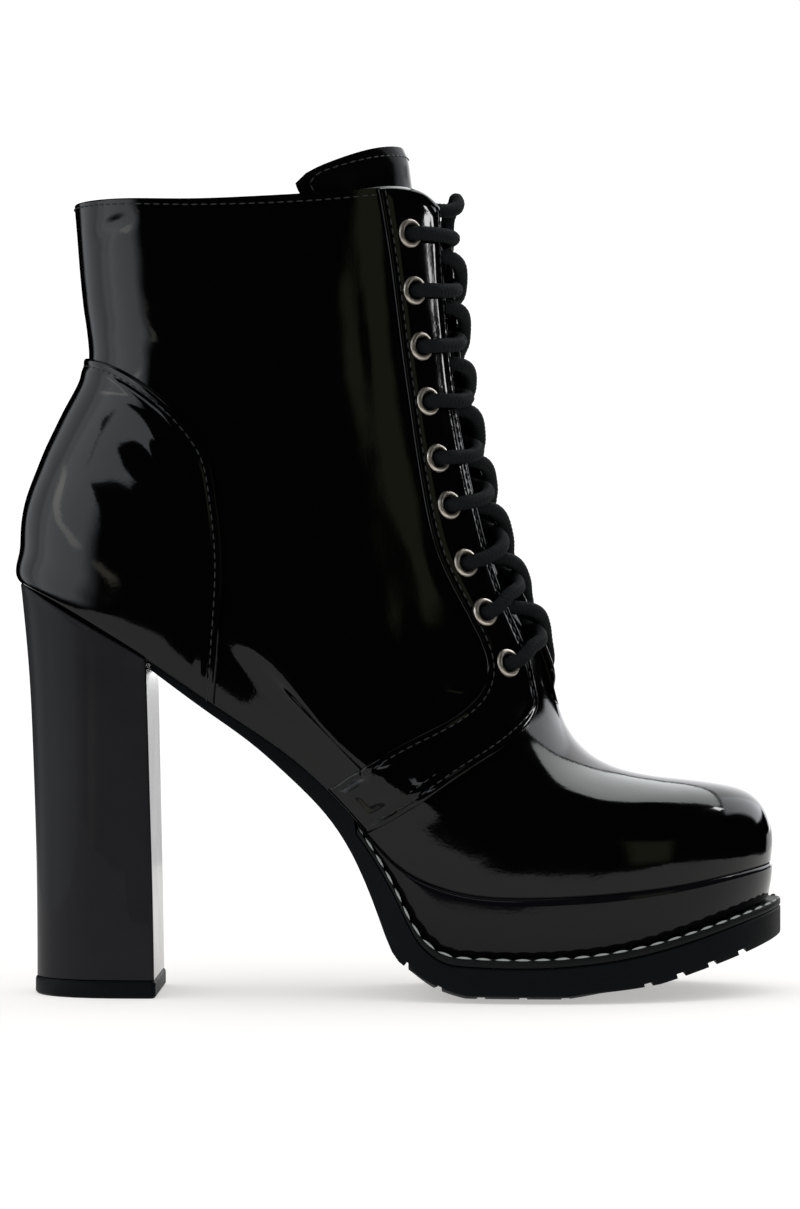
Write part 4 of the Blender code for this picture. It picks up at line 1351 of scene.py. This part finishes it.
PATENT = patent_material("patent_upper", (0.0006, 0.0006, 0.0007), 0.6)
PATENT_FACING = patent_material("patent_facing", (0.0006, 0.0006, 0.0007), 1.0)
PATENT_TONGUE = patent_material("patent_tongue", (0.0008, 0.0008, 0.0009), 1.0, 0.10, 1.07, 0.0)
PATENT_SOLE = patent_material("patent_wrap", (0.002, 0.002, 0.0025), 0.5, 0.07, 1.23)
PATENT_HEEL = patent_material("patent_heel", (0.0090, 0.0090, 0.0101), 0.12, 0.38, 1.13, 0.05)
PATENT_BREAST = patent_material("patent_breast", (0.0040, 0.0040, 0.0046), 0.12, 0.12, 1.24)
LINING = fabric_material("lining", (0.010, 0.010, 0.011), 0.8, 1500.0, 0.05)
RUBBER = rubber_material("rubber", (0.0022, 0.0026, 0.0032), 0.5)
WELT = rubber_material("welt_rubber", (0.0050, 0.0052, 0.0056), 0.42)
METAL = metal_material()
COTTON = fabric_material("braided_cotton", (0.0034, 0.0046, 0.0052), 0.85, 1500.0, 0.0)
# Black thread whose base is lightened to dark grey: a painted glint that stands in for the light
# its stitches catch
THREAD_PAINTED_GLINT = fabric_material("black_thread_painted_glint", (0.020, 0.021, 0.022), 0.30, 2500.0, 0.0)
WELT_THREAD = fabric_material("grey_thread", (0.24, 0.26, 0.25), 0.7, 2500.0, 0.05)

make_upper([PATENT, LINING])

counter = overlay("counter_panel", counter_grid(), [PATENT], 2.4, (False, True, True, True))
place(counter, "black_patent", "counter")
for side, label in ((-1, "lateral"), (1, "medial")):
    panel = overlay(f"facing_panel_{label}", facing_grid(side), [PATENT_FACING], 2.2)
    place(panel, "black_patent", f"facing_{label}")

tongue, tongue_front, tongue_normal = make_tongue([PATENT_TONGUE, LINING])
make_insole([LINING])
make_platform([PATENT_SOLE])
make_welt([WELT])
make_outsole([RUBBER])
make_heel([PATENT_HEEL, PATENT_BREAST])
make_heel_tip([RUBBER])

for i, share in enumerate(EYELET_SHARES, 1):
    make_eyelet(f"eyelet_ring_lateral_{i}", share, -1, METAL, f"eyelet_lateral_{i}")
    make_eyelet(f"eyelet_ring_medial_{i}", share, 1, METAL, f"eyelet_medial_{i}")

for (row, side), line in lace_lines().items():
    label = "lateral" if side < 0 else "medial"
    nodes = [f"lace_crossing_{row + 1}"] if side < 0 else []
    strand_mesh(f"lace_strand_{label}_{row + 1}", line, COTTON, nodes)

# Black stitches: how far the rows lie from a panel's edge, where the band's second row ends, the
# share and half turn of the row along the collar, and the lowest point of the one on the tongue
FIRST_ROW = 2.1
SECOND_ROW = 4.6
COUNTER_ROW = 2.3
SECOND_ROW_TOP = 84.0
COLLAR_ROW = 0.991
COLLAR_TURN = 2.75
TONGUE_ROW_LOW = 232.0
for side, label in ((-1, "lateral"), (1, "medial")):
    back, front = (line[line[:, 1] > 0.012] for line in facing_lines(side))
    sew(f"stitches_facing_back_{label}", back, FIRST_ROW, -side)
    sew(f"stitches_facing_front_{label}", front, FIRST_ROW, side)
    band = front[face_point(front[:, 0], front[:, 1])[:, 2] < SECOND_ROW_TOP]
    sew(f"stitches_band_{label}", band, SECOND_ROW, side)
grid = counter_grid()
edge = np.concatenate([grid[:, 0], grid[-1, 1:], grid[::-1, -1][1:]])
sew("stitches_counter", edge, COUNTER_ROW, 1, count=700)
collar = np.column_stack([np.linspace(-COLLAR_TURN, COLLAR_TURN, 500), np.full(500, COLLAR_ROW)])
sew("stitches_collar", collar, 0.0, 1, 0.12, 700)
rows, columns = tongue_front.shape[:2]
high = [i for i in range(rows - 2) if tongue_front[i, 1, 2] > TONGUE_ROW_LOW]
loop = [(i, 1) for i in high]
loop += [(rows - 2, j) for j in range(2, columns - 2)]
loop += [(i, columns - 2) for i in high[::-1]]
path = resample(np.array([tongue_front[i, j] for i, j in loop]), 300)
up = unit(resample(np.array([tongue_normal[i, j] for i, j in loop]), 300))
black_stitches("stitches_tongue", path, up)

# Light stitches along the top edge of the welt
WELT_PITCH = 5.9
WELT_SHARE = 0.78
WELT_RADIUS = 0.36
plan = sole_plan(PLATFORM_START, welt_edge)
ring = plan(0.55)
path = np.column_stack([ring, height(PLATFORM_BASE, ring[:, 0]) - GAP - 0.1])[1:]
out = plan(0.0)[1:] - plan(1.0)[1:]
up = unit(np.column_stack([out, np.full(len(out), 0.9)]))
stitch_row("stitches_welt", path, up, WELT_PITCH, WELT_SHARE, WELT_RADIUS, WELT_THREAD, 0.6)


# ---- studio ----


def emitter(name, centre, size, target, power):
    light = bpy.data.lights.new(name, "AREA")
    light.shape = "RECTANGLE"
    light.size, light.size_y = size
    light.energy = power
    obj = bpy.data.objects.new(name, light)
    obj.location = centre
    obj.rotation_euler = (Vector(target) - Vector(centre)).to_track_quat("-Z", "Y").to_euler()
    bpy.context.scene.collection.objects.link(obj)
    return obj


FLOOR_BACK = 0.75
FLOOR_HALF = 0.40
FLOOR_CORNER = 0.10
FLOOR_FRONT = (
    # x, y of the table's front edge, whose height in the gloss follows from its distance
    (-0.40, -0.310), (-0.14, -0.310), (-0.11, -0.230), (0.00, -0.212), (0.06, -0.255),
    (0.20, -0.280), (0.40, -0.280),
)


def make_floor():
    """White table top, so bright that its edge is lost in the white behind."""
    corners = [(x, y, 0) for x, y in FLOOR_FRONT]
    for k, (x, y) in enumerate(((FLOOR_HALF, FLOOR_BACK), (-FLOOR_HALF, FLOOR_BACK))):
        cx = x - math.copysign(FLOOR_CORNER, x)
        cy = y - math.copysign(FLOOR_CORNER, y)
        for angle in np.radians(np.linspace(90 * k, 90 * k + 90, 10)):
            corners.append((cx + FLOOR_CORNER * math.cos(angle),
                            cy + FLOOR_CORNER * math.sin(angle), 0))
    mesh = bpy.data.meshes.new("floor")
    mesh.from_pydata(corners, [], [tuple(range(len(corners)))])
    floor = bpy.data.objects.new("floor", mesh)
    bpy.context.scene.collection.objects.link(floor)
    material, tree, shader, coords = nodes_of("floor_paint")
    soft = noise(tree, coords, 3.0, 2.0)
    two_tones(tree, shader, soft, (0.62, 0.615, 0.605), (0.63, 0.625, 0.618))
    set_inputs(shader, {"Roughness": 0.9, "Specular IOR Level": 0.0,
                        "Emission Color": (1.0, 0.99, 0.975, 1), "Emission Strength": 0.42})
    mesh.materials.append(material)


# The lit areas of the room that gloss reflects. The bearing is 0 in front of the boot's outer side
# and positive to the toe, and the climb is 0 there, 90 overhead and 180 behind
PALE_BLUE = (0.90, 0.95, 1.0)
PALE_YELLOW = (1.0, 0.96, 0.80)
ROOM = (
    # kind, low, high, edge, cross low, cross high, cross edge, strength, colour, and for some a
    # second kind with its low and high
    ("bearing", -98.0, -50.0, 9.0, -0.20, 0.86, 0.06, 2.4, PALE_BLUE, ("slant", -400.0, -24.0)),
    ("bearing", -136.0, -98.0, 4.0, -0.20, 0.86, 0.06, 1.0, PALE_BLUE, ()),
    ("bearing", -75.0, -10.0, 2.5, 0.37, 0.52, 0.015, 2.4, PALE_BLUE, ("slant", -24.0, 400.0)),
    ("slant", -54.0, -47.0, 1.5, 0.08, 0.40, 0.03, 1.8, PALE_YELLOW, ()),
    ("slant", -54.0, -47.0, 1.5, -0.16, -0.05, 0.02, 1.2, PALE_YELLOW, ()),
    ("bearing", 32.0, 52.0, 3.0, -0.06, 0.30, 0.05, 0.36, (1.0, 1.03, 0.60), ()),
    ("bearing", 138.0, 184.0, 3.0, -0.30, 0.015, 0.006, 0.85, (1.0, 1.0, 1.0), ()),
    ("climb", 106.0, 180.0, 1.5, 0.13, 0.66, 0.03, 4.2, (0.97, 1.0, 1.0), ("lean", -400.0, 160.2)),
    ("lean", 162.4, 270.0, 0.8, -0.05, 0.48, 0.03, 2.0, (0.98, 0.98, 1.0), ()),
    ("lean", 162.4, 270.0, 0.8, 0.48, 0.82, 0.03, 2.8, (0.94, 0.96, 1.0), ("height", 0.20, 2.0)),
)
ROOM_WHITE = 1.08

# Camera, in pixels of the picture: its height, the lens and the line of the horizon
PICTURE_HIGH = 1209
LENS = 3715
HORIZON = 660
EYE = (SHIFT[0] * MM, -1.150, 0.1026)


def make_world():
    """Even white light for the floor and the camera. What gloss reflects is a dark room with a
    few lit walls."""
    world = bpy.data.worlds.new("studio")
    bpy.context.scene.world = world
    world.use_nodes = True
    world.cycles.sampling_method = "NONE"
    tree = world.node_tree
    shader = tree.nodes["Background"]
    split = tree.nodes.new("ShaderNodeSeparateXYZ")
    tree.links.new(tree.nodes.new("ShaderNodeTexCoord").outputs["Generated"], split.inputs[0])

    def calc(operation, one, two=None):
        node = tree.nodes.new("ShaderNodeMath")
        node.operation = operation
        for socket, value in zip(node.inputs, (one, two)):
            if isinstance(value, (int, float)):
                socket.default_value = value
            elif value is not None:
                tree.links.new(value, socket)
        return node.outputs[0]

    def step(value, low, high):
        node = tree.nodes.new("ShaderNodeMapRange")
        node.interpolation_type = "SMOOTHSTEP"
        node.inputs["From Min"].default_value = low
        node.inputs["From Max"].default_value = high
        tree.links.new(value, node.inputs["Value"])
        return node.outputs["Result"]

    def within(value, low, high, edge):
        up = step(value, low - edge, low + edge)
        down = step(value, high - edge, high + edge)
        return calc("MULTIPLY", up, calc("SUBTRACT", 1.0, down))

    x, y, z = split.outputs
    front = calc("MULTIPLY", y, -1.0)
    bearing = calc("MULTIPLY", calc("ARCTAN2", x, front), 180 / math.pi)
    climb = calc("MULTIPLY", calc("ARCTAN2", z, front), 180 / math.pi)
    slant = calc("ADD", bearing, calc("MULTIPLY", z, 110.0))
    lean = calc("ADD", climb, calc("MULTIPLY", x, 74.0))
    kinds = {"bearing": (bearing, z), "climb": (climb, x), "slant": (slant, z), "lean": (lean, x),
             "height": (z, x)}
    total = None
    for kind, low, high, edge, *cross, strength, colour, second in ROOM:
        angle, other = kinds[kind]
        mask = calc("MULTIPLY", within(angle, low, high, edge), within(other, *cross))
        if second:
            soft = 0.02 if second[0] == "height" else 0.8
            mask = calc("MULTIPLY", mask, within(kinds[second[0]][0], *second[1:], soft))
        paint = tree.nodes.new("ShaderNodeVectorMath")
        paint.operation = "SCALE"
        paint.inputs[0].default_value = colour
        tree.links.new(calc("MULTIPLY", mask, strength), paint.inputs["Scale"])
        if total is None:
            total = paint.outputs[0]
        else:
            both = tree.nodes.new("ShaderNodeVectorMath")
            both.operation = "ADD"
            tree.links.new(total, both.inputs[0])
            tree.links.new(paint.outputs[0], both.inputs[1])
            total = both.outputs[0]
    mix = tree.nodes.new("ShaderNodeMix")
    mix.data_type = "RGBA"
    mix.clamp_factor = True
    mix.inputs["A"].default_value = (ROOM_WHITE, ROOM_WHITE, ROOM_WHITE, 1)
    tree.links.new(total, mix.inputs["B"])
    rays = tree.nodes.new("ShaderNodeLightPath")
    tree.links.new(rays.outputs["Is Glossy Ray"], mix.inputs["Factor"])
    tree.links.new(mix.outputs["Result"], shader.inputs["Color"])


def make_camera():
    """The photograph's view, level and from the outer side."""
    camera = bpy.data.cameras.new("camera")
    camera.sensor_fit = "AUTO"
    camera.sensor_width = 36.0
    camera.lens = LENS / PICTURE_HIGH * camera.sensor_width
    camera.shift_y = (HORIZON - PICTURE_HIGH / 2) / PICTURE_HIGH
    camera.clip_start = 0.05
    camera.clip_end = 30.0
    obj = bpy.data.objects.new("camera", camera)
    obj.location = EYE
    obj.rotation_euler = (math.pi / 2, 0, 0)
    bpy.context.scene.collection.objects.link(obj)
    bpy.context.scene.camera = obj


make_floor()
make_world()
make_camera()
emitter("top_key", (-0.15, -0.35, 1.2), (0.5, 0.5), (0, 0, 0.05), 0.3)
glint = emitter("facing_glint", (0.312, 0.030, 0.268), (0.022, 0.040), (0.010, -0.015, 0.222),
                0.055)
glint.visible_camera = False

bpy.context.scene.view_settings.view_transform = "Standard"
